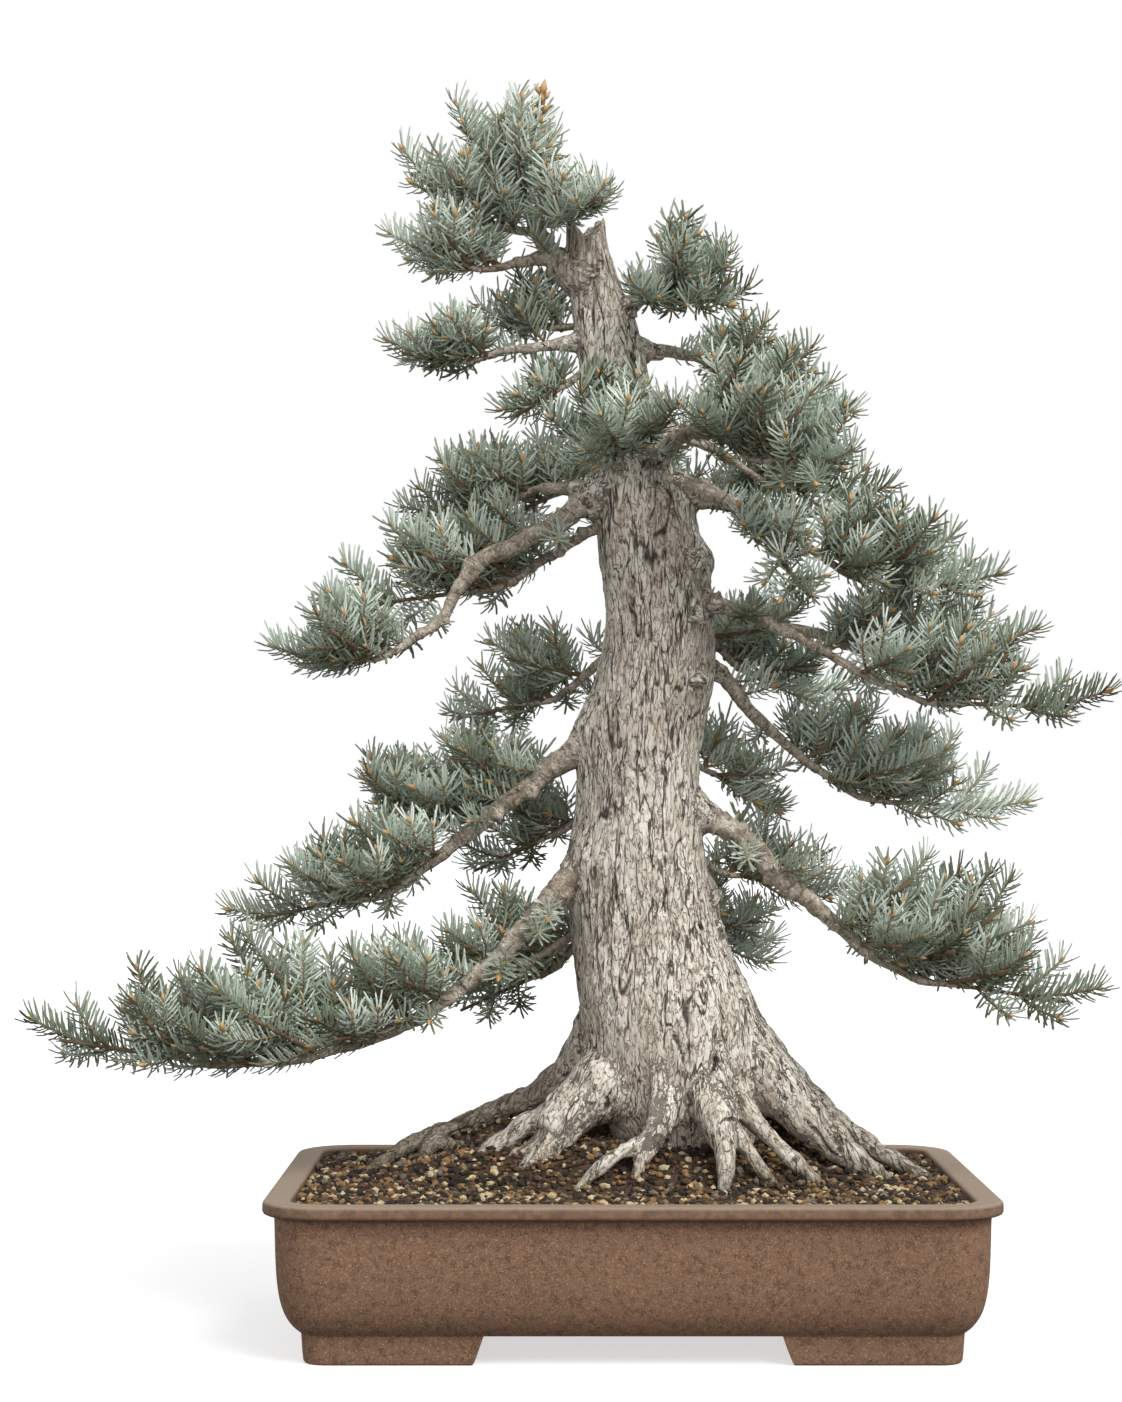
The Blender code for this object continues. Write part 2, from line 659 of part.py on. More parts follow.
def bough_path(bough, limbs):
    """A bough's line, from its carrier's middle, or from just clear of its tip."""
    start, along = carrier_start(bough.carrier, bough.at, limbs)
    if bough.at == 1.0:
        start = start - along * TIP_LAP
    out = heading_vector(bough.heading)
    points = [start] + [start + out * reach * MM + UP * rise * MM for reach, rise in bough.run]
    return smooth_path(points, BOUGH_STEP)


def bough_radii(bough, path):
    """Tapering radii, with a swollen collar where the bough leaves a trunk or limb."""
    length = path_length(path)
    clear = trunk_at(bough.at * MM)[1] if bough.carrier == "trunk" else 0.0
    radii = []
    for index in range(len(path)):
        share = index / (len(path) - 1)
        radius = (bough.base + (bough.tip - bough.base) * share**0.8) * MM / 2
        beyond = max(0.0, share * length - clear)
        radii.append(radius * (1 + COLLAR_SWELL * math.exp(-((beyond / COLLAR_LENGTH) ** 2))))
    return radii


def make_bough(bough, limbs, clearances, finish):
    path = bough_path(bough, limbs)
    radii = bough_radii(bough, path)
    limbs[bough.name] = (path, radii)
    made = tube(bough.name, path, radii, BOUGH_SIDES, finish)
    cut_clear(made, clearances[bough.carrier])
    longer = [*path[:-1], path[-1] + (path[-1] - path[-2]).normalized() * CLEARANCE]
    grown = tube(bough.name + "_clearance", longer, [radius + CLEARANCE for radius in radii], BOUGH_SIDES)
    hide_helper(grown)
    clearances[bough.name] = grown
    return made


# Foliage


class Space:
    """Balls that stand for what is already placed, each with the name of its owner."""

    def __init__(self):
        self.centres = np.zeros((0, 3))
        self.radii = np.zeros(0)
        self.owners = np.zeros(0, dtype=object)

    def add(self, owner, points, radii):
        self.centres = np.vstack([self.centres, np.array(points)])
        self.radii = np.concatenate([self.radii, np.broadcast_to(radii, len(points))])
        self.owners = np.concatenate([self.owners, np.full(len(points), owner, dtype=object)])

    def free(self, owner, points, radius):
        """Whether balls of one radius at the points touch nothing of another owner."""
        others = self.owners != owner
        centres = self.centres[others]
        reach = self.radii[others] + radius
        for point in points:
            if (np.linalg.norm(centres - np.array(point), axis=1) < reach).any():
                return False
        return True


def fine_points(path, step):
    count = max(2, round(path_length(path) / step))
    return [place_on(path, index / count)[0] for index in range(count + 1)]


def spray_length(mass):
    """Short masses have shorter sprays, so that their stems stand clear of the carrier."""
    outer = math.hypot(mass.reach, mass.rise) * MM
    if mass.carrier == "trunk":
        outer -= trunk_at(mass.at * MM)[1]
    return min(SPRAY_LONGEST, SPRAY_SHORTEST + SPRAY_SHARE * outer, SPRAY_OF_STEM * outer + SPRAY_ROOT)


def stem_path(mass, limbs):
    """The stem of a mass: out from its carrier and gently up to its tip."""
    start, along = carrier_start(mass.carrier, mass.at, limbs)
    out = heading_vector(mass.heading)
    aim = out
    if mass.at == 1.0:
        start = start - along * TIP_LAP
        aim = along
    tip = start + out * mass.reach * MM + UP * mass.rise * MM
    finish = ((tip - start).normalized() + UP * TIP_LIFT).normalized()
    tip = tip - finish * (spray_length(mass) - SPRAY_ROOT)
    span = (tip - start).length
    path = []
    count = max(3, round(span / STEM_STEP))
    for index in range(count + 1):
        share = index / count
        square, cube = share**2, share**3
        path.append(
            (2 * cube - 3 * square + 1) * start
            + (cube - 2 * square + share) * span * aim
            + (3 * square - 2 * cube) * tip
            + (cube - square) * span * finish
        )
    return path


def stem_radii(mass, limbs, path):
    if mass.at == 1.0:
        start = STEM_OF_TIP * limbs[mass.carrier][1][-1]
    else:
        fullness = min(1.0, mass.reach / FULL_REACH)
        start = TRUNK_STEM_LEAST + (TRUNK_STEM_RADIUS - TRUNK_STEM_LEAST) * fullness
    return [start + (STEM_TIP - start) * index / (len(path) - 1) for index in range(len(path))]


def hull(share):
    """How full a mass is along its stem, from 0 at its root to 1 at its tip."""
    opening = min(1.0, HULL_ROOT + HULL_OPENING * share)
    closing = 1 - HULL_CLOSING * max(0.0, (share - HULL_SHOULDER) / (1 - HULL_SHOULDER)) ** 1.4
    return opening * closing


def side_twigs(mass, path, draw):
    """Roots, directions and lengths of the twigs round a stem, by a seeded rule."""
    twigs = []
    for index in range(mass.twigs):
        leafy = (index + 0.5 + draw.uniform(-TWIG_JITTER, TWIG_JITTER)) / mass.twigs
        share = mass.bare + (LEAFY_END - mass.bare) * leafy
        root, along = place_on(path, share)
        side = along.cross(UP)
        if side.length < 0.35:
            side = along.cross(BACK)
        side.normalize()
        over = side.cross(along)
        roll = math.radians(ROLLS[index % len(ROLLS)] + draw.uniform(-10, 10))
        if along.z > 0.8:
            roll = math.radians(GOLDEN_TURN * index + draw.uniform(-12, 12))
        spread = math.radians(SPREAD - SPREAD_LOSS * leafy + draw.uniform(-6, 6))
        lateral = math.sin(roll) * side + math.cos(roll) * over
        direction = math.cos(spread) * along + math.sin(spread) * lateral
        room = 1 / math.hypot(math.sin(roll) / mass.width, math.cos(roll) / mass.loft)
        length = room * MM * hull(leafy) * draw.uniform(0.9, 1.05) / math.sin(spread)
        twigs.append((root, direction, length))
    return twigs


def spray_points(root, along, flat, length):
    """Rim, upper hubs and under hubs of one spray: a toothed blade, thick along its middle."""
    along = along.normalized()
    side = flat.cross(along).normalized()
    lift = along.cross(side) * SPRAY_THICK / 2 * length
    half = SPRAY_WIDTH / 2 * length
    outline = []
    for point_along, point_out, notch_along, notch_out in TEETH:
        outline += [(point_along, point_out), (notch_along, notch_out)]
    right = [root + along * length * x + side * half * y for x, y in outline]
    left = [root + along * length * x - side * half * y for x, y in outline[::-1]]
    rim = [root, *right, root + along * length, *left]
    near, far = [root + along * length * hub for hub in HUBS]
    return rim, (near + lift, far + 0.8 * lift), (near - lift, far - 0.8 * lift)


def hub_of(index, rim):
    """Which hub a stretch of the rim belongs to: 0 for the near one, 1 for the far one."""
    return int(HUB_SPLIT <= index < len(rim) - HUB_SPLIT)


def spray(name, root, along, flat, length):
    """Build the closed blade of spray_points."""
    rim_points, upper, under = spray_points(root, along, flat, length)
    shape = bmesh.new()
    rim = [shape.verts.new(point) for point in rim_points]
    for points in (upper, under):
        hubs = [shape.verts.new(point) for point in points]
        for index in range(len(rim)):
            shape.faces.new((rim[index], rim[(index + 1) % len(rim)], hubs[hub_of(index, rim)]))
        for index in (HUB_SPLIT, len(rim) - HUB_SPLIT):
            shape.faces.new((rim[index], *hubs))
    return add_object(name, shape)


def spray_samples(root, along, flat, length):
    """Points spread over a spray: each rim triangle's corners, edge thirds and middle."""
    rim, upper, _ = spray_points(root, along, flat, length)
    samples = list(upper)
    for index, start in enumerate(rim):
        end = rim[(index + 1) % len(rim)]
        hub = upper[hub_of(index, rim)]
        samples += [start.lerp(end, third / 3) for third in range(3)]
        samples += [start.lerp(hub, third / 3) for third in (1, 2)]
        samples.append((start + end + hub) / 3)
    return samples


def flat_side(along, roll):
    """The normal of a blade along a direction, rolled from facing up."""
    side = along.cross(UP)
    if side.length < 0.2:
        side = along.cross(BACK)
    side.normalize()
    over = side.cross(along)
    angle = math.radians(roll)
    return math.cos(angle) * over + math.sin(angle) * side


def grow_mass(mass, limbs, space, finish):
    """One mass: stem, side twigs and sprays, fused into one solid."""
    draw = random.Random(mass.name)
    path, radii = limbs[mass.name]
    stem = tube(mass.name, path, radii, STEM_SIDES, finish)
    parts = []

    def try_spray(root, along, length, roll):
        for turn, scale in SPRAY_TRIES:
            flat = flat_side(along, turn * roll)
            samples = spray_samples(root, along, flat, scale * length)
            if space.free(mass.name, samples, SPRAY_KEEP):
                space.add(mass.name, samples, SPRAY_KEEP)
                parts.append(spray(f"spray_{len(parts)}", root, along, flat, scale * length))
                return True
        return False

    tip, along = place_on(path, 1.0)
    try_spray(tip - along * SPRAY_ROOT, along, spray_length(mass), SPRAY_ROLL + draw.uniform(-15, 15))
    for index, (root, direction, length) in enumerate(side_twigs(mass, path, draw)):
        roll = (SPRAY_ROLL if index % 2 else -SPRAY_ROLL) + draw.uniform(-22, 22)
        size = spray_length(mass) * draw.uniform(0.9, 1.06)
        bare = length - size + SPRAY_ROOT
        end_direction = (direction + UP * TIP_LIFT).normalized()
        if bare < 2 * SPRAY_ROOT:
            short = max(SPRAY_LEAST * size, min(size, length))
            try_spray(root - end_direction * SPRAY_SINK, end_direction, short, roll)
            continue
        end = root + direction * bare * 0.5 + end_direction * bare * 0.5
        if not space.free(mass.name, fine_points([root, end], BALL_STEP)[1:], SPRAY_KEEP):
            continue
        if try_spray(end - end_direction * SPRAY_ROOT, end_direction, size, roll):
            parts.append(tube(f"twig_{index}", [root, end], [TWIG_RADIUS, 0.7 * TWIG_RADIUS], 3))
    return fuse(stem, parts, "MANIFOLD")


def main():
    clear_scene()
    clay = material("clay", (0.20, 0.115, 0.085), 0.75)
    ground = material("soil", (0.16, 0.105, 0.06), 0.95)
    bark = material("bark", (0.30, 0.26, 0.22), 0.9)
    needles = material("needles", (0.17, 0.25, 0.23), 0.65)
    make_pot(clay)
    make_soil(ground)
    trunk_solid("trunk", 0.0, bark)
    clearances = {"trunk": trunk_solid("trunk_clearance", CLEARANCE)}
    hide_helper(clearances["trunk"])
    limbs = {}
    for bough in BOUGHS:
        make_bough(bough, limbs, clearances, bark)

    space = Space()
    for height in np.arange(SOIL_LEVEL, TRUNK[-1][0] * MM, TRUNK_BALL_STEP):
        middle, radius = trunk_at(height)
        space.add("trunk", [middle], radius + TRUNK_MARGIN)
    for root in ROOTS:
        path, radii = root_line(root)
        space.add("trunk", path, np.array(radii) + ROOT_MARGIN)
    for name, (path, radii) in list(limbs.items()):
        balls = fine_points(path, BALL_STEP)
        along = np.linspace(0, len(radii) - 1, len(balls))
        space.add(name, balls, np.interp(along, range(len(radii)), radii) + LIMB_MARGIN)
    for mass in MASSES:
        path = stem_path(mass, limbs)
        radii = stem_radii(mass, limbs, path)
        limbs[mass.name] = (path, radii)
        space.add(mass.name, fine_points(path, BALL_STEP), radii[0] + LIMB_MARGIN)
    for mass in sorted(MASSES, key=lambda mass: mass.reach):
        cut_clear(grow_mass(mass, limbs, space, needles), clearances[mass.carrier])


main()
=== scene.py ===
"""Looks of an old white fir trained as a bonsai in a clay pot.

The packed solids are the fixed frame. The foliage grows from the same seeded rule as the
solids, carried on to shoots and needles. Units are metres and +Z is up.
"""

import functools
import itertools
import math
import random
from collections import namedtuple

import bmesh
import bpy
import numpy as np
from bpy.props import FloatProperty, FloatVectorProperty, IntProperty, PointerProperty
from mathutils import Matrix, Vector
from mathutils.kdtree import KDTree


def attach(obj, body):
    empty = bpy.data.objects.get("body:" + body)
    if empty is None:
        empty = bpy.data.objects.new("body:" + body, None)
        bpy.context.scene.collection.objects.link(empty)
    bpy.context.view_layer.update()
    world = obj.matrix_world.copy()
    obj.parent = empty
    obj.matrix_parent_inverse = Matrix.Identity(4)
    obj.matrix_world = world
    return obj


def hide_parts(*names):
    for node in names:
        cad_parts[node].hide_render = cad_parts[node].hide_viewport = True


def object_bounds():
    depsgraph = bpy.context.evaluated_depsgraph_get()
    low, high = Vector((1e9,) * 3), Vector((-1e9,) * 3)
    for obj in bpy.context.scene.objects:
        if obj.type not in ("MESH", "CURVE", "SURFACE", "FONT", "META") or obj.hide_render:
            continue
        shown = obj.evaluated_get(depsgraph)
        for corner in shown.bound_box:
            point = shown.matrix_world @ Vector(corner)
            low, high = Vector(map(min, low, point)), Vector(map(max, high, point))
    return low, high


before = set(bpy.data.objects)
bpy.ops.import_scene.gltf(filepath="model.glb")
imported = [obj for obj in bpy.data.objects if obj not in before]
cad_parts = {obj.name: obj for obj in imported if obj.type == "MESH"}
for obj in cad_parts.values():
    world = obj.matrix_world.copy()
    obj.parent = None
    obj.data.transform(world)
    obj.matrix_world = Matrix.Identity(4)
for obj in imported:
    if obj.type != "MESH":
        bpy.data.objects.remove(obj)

bl_info = {
    "name": "White Fir Bonsai",
    "version": (1, 0, 0),
    "blender": (4, 5, 0),
    "location": "3D View > Sidebar > Fir Bonsai",
    "description": "Dresses the packed solids of a potted white fir",
    "category": "Object",
}

CAD_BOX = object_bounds()
BODY = "root"

MM = 0.001
UP = Vector((0, 0, 1))
BACK = Vector((0, 1, 0))
GOLDEN_TURN = 137.5
CURVE_SAMPLES = 12
TIP_LAP = 2 * MM

# Pot, as in the solids

POT_LENGTH = 650 * MM
POT_DEPTH = 460 * MM
POT_HEIGHT = 142 * MM
POT_MIDDLE_X = 63 * MM
POT_CORNER = 56 * MM
WALL_PROFILE = ((26, 34), (33, 26), (44, 19), (60, 14.5), (84, 12), (129, 10.5))
RIM_HEIGHT = 13 * MM
RIM_WIDTH = 25 * MM
FOOT_BAND = 34 * MM
FOOT_TOP = 30 * MM
RECESS_LENGTH = 288 * MM
RECESS_DEPTH = 200 * MM
SOIL_LEVEL = 136 * MM

# Trunk: height, lean to the right, lean to the back and radius, in millimetres
TRUNK = (
    (100, 117, 41, 58),
    (150, 117, 41, 63),
    (200, 115, 39, 76),
    (250, 110, 37, 84),
    (295, 101, 35, 84),
    (360, 85, 33, 73.5),
    (425, 77, 30, 66),
    (491, 75, 26, 58),
    (557, 76, 22, 58.5),
    (605, 87, 19, 56),
    (660, 91, 15, 50.5),
    (737, 82, 10, 49),
    (775, 76, 7, 44.5),
    (805, 66, 5, 38.5),
    (870, 54, 3, 34),
    (928, 45, 2, 29.5),
    (1004, 27, 1, 22),
    (1030, 24, 0, 18),
)
SNAG_SPIKE = 16 * MM
SNAG_NOTCH = math.radians(-95)
LOBES = ((3, 11, 0.030), (5, -17, 0.022))

# Swellings on the trunk: height, angle round it, how far out, how tall and how wide
SWELLINGS = (
    (817, -78, 11, 20, 24),
    (718, -5, 11, 16, 16),
    (676, -22, 6, 12, 30),
    (436, 205, 9, 24, 24),
    (555, 182, 7, 28, 24),
    (404, -4, 6, 16, 14),
    (776, 190, 6, 18, 18),
    (776, -10, 6, 14, 18),
)

# Surface roots: each leaves the trunk and runs down to the soil through points x, y, z, with a
# radius at each, in millimetres. A fork or finger starts inside the root that bears it.
ROOTS = {
    "left_long": ((52, 48, 306, 21), (28, 52, 262, 22), (-1, 70, 223, 17.5), (-32, 85, 203, 12),
                  (-89, 100, 179, 10), (-142, 88, 160, 8.5), (-187, 48, 137, 4.5)),
    "knob": ((-1, 0, 194, 11.5), (-44, 35, 164, 7.5), (-79, 45, 156, 7.5), (-103, 45, 162, 8),
             (-122, 40, 166, 12.5), (-129, 37, 148, 5.5)),
    "hand": ((68, 14, 285, 28), (52, 8, 247, 32), (29, -4, 217, 29), (2, -20, 194, 23.5),
             (-14, -30, 180, 15)),
    "finger_far": ((-5, 0, 200, 15), (-37, 0, 184, 10.5), (-69, 0, 161, 9), (-102, 3, 138, 4.5)),
    "finger_long": ((-7, -20, 181, 12), (-26, -20, 169, 9.5), (-46, -18, 157, 7.5), (-70, -12, 137, 4)),
    "finger_mid": ((-8, -35, 175, 11), (-23, -42, 164, 8.5), (-34, -48, 151, 7), (-42, -52, 137, 4.5)),
    "finger_near": ((10, -30, 186, 13), (-5, -36, 168, 8.5), (-12, -41, 142, 4.5)),
    "fork": ((107, 2, 248, 26.5), (100, -35, 214, 16), (88, -55, 191, 14), (75, -66, 178, 10)),
    "fork_left": ((84, -60, 184, 10), (61, -72, 174, 8), (34, -85, 157, 6.5), (11, -94, 137, 4)),
    "fork_right": ((87, -60, 184, 10), (75, -70, 165, 8.5), (64, -76, 136, 5.5)),
    "front": ((136, -5, 252, 28), (140, -40, 213, 19.5), (144, -64, 188, 15), (150, -82, 165, 10),
              (147, -96, 136, 5.5)),
    "front_twin": ((149, -45, 206, 14), (162, -57, 184, 9), (181, -65, 157, 7.5), (199, -69, 136, 4)),
    "front_right": ((152, 0, 245, 23.5), (167, -22, 210, 14), (187, -38, 185, 10.5),
                    (216, -50, 158, 8), (241, -56, 136, 3.5)),
    "right": ((108, 34, 365, 30), (148, 28, 296, 29), (193, 15, 233, 27), (227, 8, 197, 22.5),
              (259, 2, 168, 16), (307, -2, 136, 4.5)),
    "right_far": ((116, 52, 345, 24), (154, 60, 290, 25), (208, 60, 232, 21), (242, 55, 195, 17),
                  (286, 42, 166, 13), (347, 15, 136, 4.5)),
    "right_back": ((146, 62, 285, 20), (186, 76, 236, 21), (222, 90, 196, 16), (262, 106, 160, 11),
                   (304, 120, 137, 4.5)),
    "back_right": ((138, 70, 280, 20), (166, 92, 232, 21), (190, 122, 190, 16), (212, 152, 158, 11),
                   (236, 182, 137, 4.5)),
    "back": ((118, 84, 240, 24), (122, 130, 192, 17), (130, 160, 158, 11), (134, 188, 137, 4.5)),
    "back_left": ((80, 78, 240, 23), (50, 118, 188, 16), (28, 148, 157, 10), (4, 178, 137, 4.5)),
}

# Boughs: carrier, place on it, heading, thickness at both ends and run, in millimetres
Bough = namedtuple("Bough", "name carrier at heading base tip run")
BOUGHS = tuple(Bough(*row) for row in (
    ("bough_low_left", "trunk", 467, 194, 29, 16,
     ((51, -31), (94, -75), (119, -103), (148, -131), (172, -150))),
    ("bough_mid_left", "trunk", 585, 182, 29, 14,
     ((59, -37), (92, -62), (120, -89), (168, -122), (182, -133))),
    ("bough_upper_left", "trunk", 800, 199, 25, 15,
     ((42, -27), (76, -51), (120, -71), (158, -90))),
    ("bough_upper_left_outer", "bough_upper_left", 1.0, 197, 14, 8,
     ((20, -26), (33, -52), (60, -72))),
    ("bough_high_left", "trunk", 786, 168, 17, 9,
     ((44, 0), (70, 3), (94, 3))),
    ("bough_top_left", "trunk", 931, 187, 13, 7,
     ((30, -7), (66, -12), (100, -17))),
    ("leader", "trunk", 982, 180, 26, 13,
     ((21, 6), (40, 25), (55, 40), (60, 64))),
    ("leader_left", "leader", 0.5, 187, 15, 9,
     ((20, -4), (38, -8))),
    ("bough_top_right", "trunk", 940, -25, 16, 9,
     ((14, 10), (28, 20), (42, 27))),
    ("bough_high_right", "trunk", 923, 8, 15, 9,
     ((30, -3), (54, -10), (84, -11))),
    ("bough_front", "trunk", 812, -50, 24, 11,
     ((38, 4), (66, 16), (96, 19))),
    ("bough_right_slim", "trunk", 846, 5, 14, 8,
     ((43, -5), (70, -14), (108, -35))),
    ("bough_right", "trunk", 787, -12, 20, 10,
     ((49, -4), (78, -11), (115, -29), (150, -51))),
    ("bough_right_long", "trunk", 692, -16, 18, 10,
     ((54, -15), (91, -27), (134, -46))),
    ("bough_mid_right", "trunk", 637, 22, 18, 11,
     ((61, -22), (80, -40), (104, -68), (124, -82))),
    ("bough_low_right", "trunk", 507, -12, 26, 16,
     ((69, -35), (105, -60), (143, -95), (172, -120))),
    ("bough_low_back", "trunk", 452, 86, 20, 11,
     ((60, -8), (85, -17), (106, -24))),
    ("bough_mid_back", "trunk", 590, 96, 18, 10,
     ((60, -6), (80, -11), (98, -15))),
))
BOUGH_STEP = 38 * MM
COLLAR_SWELL = 0.45
COLLAR_LENGTH = 16 * MM

# Foliage masses: carrier and place on it, heading, reach, rise, half width, loft, bare
# share of the stem, number of side twigs
Mass = namedtuple("Mass", "name carrier at heading reach rise width loft bare twigs")
MASSES = tuple(Mass("foliage_" + name, *row) for name, *row in (
    ("low_left", "bough_low_left", 1.0, 188, 396, -32, 90, 108, 0.02, 19),
    ("low_left_inner", "trunk", 392, 166, 262, -42, 70, 62, 0.36, 7),
    ("mid_left", "bough_mid_left", 1.0, 183, 218, -38, 84, 62, 0.02, 10),
    ("mid_left_top", "trunk", 540, 171, 348, -48, 84, 60, 0.40, 11),
    ("mid_left_low", "trunk", 520, 146, 220, -62, 60, 52, 0.42, 5),
    ("upper_left", "trunk", 758, 183, 305, -54, 86, 70, 0.14, 12),
    ("upper_left_outer", "bough_upper_left_outer", 1.0, 197, 122, 10, 74, 60, 0.02, 7),
    ("high_left", "bough_high_left", 1.0, 172, 134, 14, 66, 56, 0.02, 7),
    ("top_left", "bough_top_left", 1.0, 186, 104, 24, 52, 36, 0.02, 5),
    ("top_left_upper", "trunk", 944, 170, 116, 26, 56, 44, 0.28, 5),
    ("top_left_stub", "trunk", 918, 200, 112, -46, 26, 16, 0.72, 1),
    ("apex", "leader", 1.0, 180, 20, 108, 84, 84, 0.04, 10),
    ("apex_left", "leader", 0.8, 181, 124, 84, 54, 54, 0.20, 6),
    ("leader_left", "leader_left", 1.0, 186, 108, 42, 62, 54, 0.02, 7),
    ("leader_right", "leader", 0.9, -54, 106, 34, 54, 46, 0.12, 6),
    ("top_right", "bough_top_right", 1.0, -46, 84, 16, 70, 66, 0.02, 8),
    ("high_right", "bough_high_right", 1.0, 6, 148, -12, 68, 46, 0.02, 7),
    ("front_right", "bough_front", 1.0, -54, 230, 0, 84, 62, 0.02, 11),
    ("front_left", "trunk", 836, -94, 226, 14, 76, 58, 0.26, 9),
    ("right_slim", "bough_right_slim", 1.0, 4, 142, 4, 58, 38, 0.02, 5),
    ("right", "bough_right", 1.0, -10, 196, -14, 80, 68, 0.02, 10),
    ("right_low", "bough_right", 0.72, -58, 118, -48, 66, 34, 0.22, 3),
    ("right_inner", "trunk", 806, 18, 182, -14, 50, 38, 0.30, 4),
    ("right_long", "bough_right_long", 1.0, -15, 286, -46, 86, 72, 0.02, 11),
    ("right_long_top", "bough_right_long", 0.78, 8, 252, 20, 62, 42, 0.40, 5),
    ("mid_right", "bough_mid_right", 1.0, 20, 262, -50, 86, 74, 0.02, 11),
    ("mid_right_inner", "trunk", 580, 47, 206, -62, 62, 56, 0.34, 5),
    ("low_right", "bough_low_right", 1.0, -11, 256, -54, 90, 104, 0.02, 14),
    ("low_right_inner", "trunk", 462, 26, 222, -24, 66, 62, 0.46, 6),
    ("low_back", "bough_low_back", 1.0, 88, 116, 4, 74, 54, 0.02, 5),
    ("mid_back", "bough_mid_back", 1.0, 96, 120, 4, 70, 50, 0.02, 5),
    ("back_left_mid", "trunk", 652, 140, 282, -46, 76, 56, 0.34, 5),
    ("upper_back", "trunk", 726, 82, 212, -18, 68, 52, 0.28, 5),
    ("high_back", "trunk", 862, 74, 190, -12, 66, 54, 0.26, 5),
    ("back_left_low", "trunk", 408, 146, 244, -96, 76, 58, 0.34, 6),
    ("back_left_high", "trunk", 836, 134, 226, -36, 68, 54, 0.28, 4),
    ("back_right_low", "trunk", 430, 60, 258, -60, 76, 58, 0.34, 6),
    ("back_right_high", "trunk", 690, 44, 266, -66, 72, 52, 0.46, 5),
))
STEM_STEP = 46 * MM
STEM_TIP = 2.2 * MM
STEM_OF_TIP = 0.92
TRUNK_STEM_RADIUS = 6.5 * MM
TRUNK_STEM_LEAST = 3.6 * MM
FULL_REACH = 250
TWIG_RADIUS = 2.4 * MM
TIP_LIFT = 0.34
ROLLS = (72, -66, 26, -34, 92, -86, 48, -8)
TWIG_JITTER = 0.3
LEAFY_END = 0.97
HULL_ROOT = 0.62
HULL_OPENING = 1.3
HULL_SHOULDER = 0.45
HULL_CLOSING = 0.52
SPREAD = 62
SPREAD_LOSS = 24
BALL_STEP = 8 * MM
TRUNK_BALL_STEP = 12 * MM
TRUNK_MARGIN = 6 * MM
ROOT_MARGIN = 3 * MM
LIMB_MARGIN = 2 * MM

# Sprays of needles, as in the solids
SPRAY_LONGEST = 128 * MM
SPRAY_SHORTEST = 64 * MM
SPRAY_SHARE = 0.28
SPRAY_OF_STEM = 0.62
SPRAY_WIDTH = 0.64
SPRAY_THICK = 0.052
SPRAY_ROOT = 11 * MM
SPRAY_SINK = 1.5 * MM
SPRAY_LEAST = 0.7
SPRAY_KEEP = 5 * MM
SPRAY_TRIES = ((1, 1), (-1, 1), (0.2, 0.86), (1, 0.72), (-1, 0.72))
SPRAY_ROLL = 48
TEETH = ((0.42, 0.96, 0.40, 0.30), (0.78, 0.80, 0.72, 0.26))
HUBS = (0.28, 0.66)
HUB_SPLIT = 2

# Masses in shade, behind the trunk or under others, and those in full light at the top
SHADED = {mass.name for mass in MASSES if "back" in mass.name} | {
    "foliage_low_left_inner", "foliage_mid_left_low", "foliage_mid_right",
    "foliage_mid_right_inner", "foliage_low_right_inner", "foliage_right_inner",
}
LIT = {mass.name for mass in MASSES if mass.carrier.startswith("leader")}


def srgb(red, green, blue):
    """A screen colour, 0 to 255, as the linear colour that shaders use."""
    shares = [value / 255 for value in (red, green, blue)]
    return tuple(
        share / 12.92 if share <= 0.04045 else ((share + 0.055) / 1.055) ** 2.4 for share in shares
    )


# The deeper tints are mostly painted shade: needles that face down are dealt two tints deeper, and the
# deepest tint is painted shade on those needles alone
NEEDLE_TINTS = (
    ("pale", srgb(212, 221, 207)),
    ("blue", srgb(188, 200, 185)),
    ("grey", srgb(162, 172, 154)),
    ("green", srgb(132, 142, 121)),
    ("deep", srgb(108, 116, 95)),
    ("dusk", srgb(80, 83, 64)),
)

# Tints dealt to the shoots of a mass in the open, in shade and in full light. These tints carry painted
# light: masses in full light are painted palest, a painted highlight, and masses in shade are painted paler
# than those in the open, which lifts their shade.
OPEN_TINTS = (0, 0, 0, 1, 1, 1, 2, 2)
SHADED_TINTS = (0, 0, 0, 1, 1, 2)
LIT_TINTS = (0, 0, 0, 0, 0, 1)

GRAIN_TINTS = (
    ("dark", srgb(52, 42, 32), 0.38),
    ("brown", srgb(98, 74, 52), 0.28),
    ("ochre", srgb(152, 118, 78), 0.16),
    ("cream", srgb(214, 192, 152), 0.12),
    ("grey", srgb(120, 112, 98), 0.06),
)

# Colours that the finishes blend with those of the settings
WRINKLE_BROWN = srgb(96, 80, 64)
FLECK_PALE = srgb(234, 228, 216)
RUST = srgb(146, 108, 82)
TORN_BARK = srgb(76, 60, 46)
# Painted shade on the roots that lie in shade
ROOT_SHADE_BROWN = srgb(92, 76, 56)
LOW_TRUNK_DARK = srgb(140, 128, 108)
NEAR_SOIL_DARK = srgb(98, 84, 58)
DEAD_GRAIN = srgb(98, 80, 62)
BOUGH_PLAIN = srgb(156, 142, 124)
BOUGH_PALE = srgb(228, 218, 202)
BOUGH_RING = srgb(100, 82, 64)
BOUGH_CRACK = srgb(84, 69, 55)
TWIG_BROWN = srgb(120, 98, 76)
CLAY_LIGHT = srgb(134, 102, 82)
CLAY_DOT = srgb(190, 156, 112)
CLAY_DARK = srgb(82, 60, 46)
RIM_DARK = srgb(108, 84, 66)
# Painted shade under the rim's lip
RIM_SHADOW = srgb(78, 59, 47)
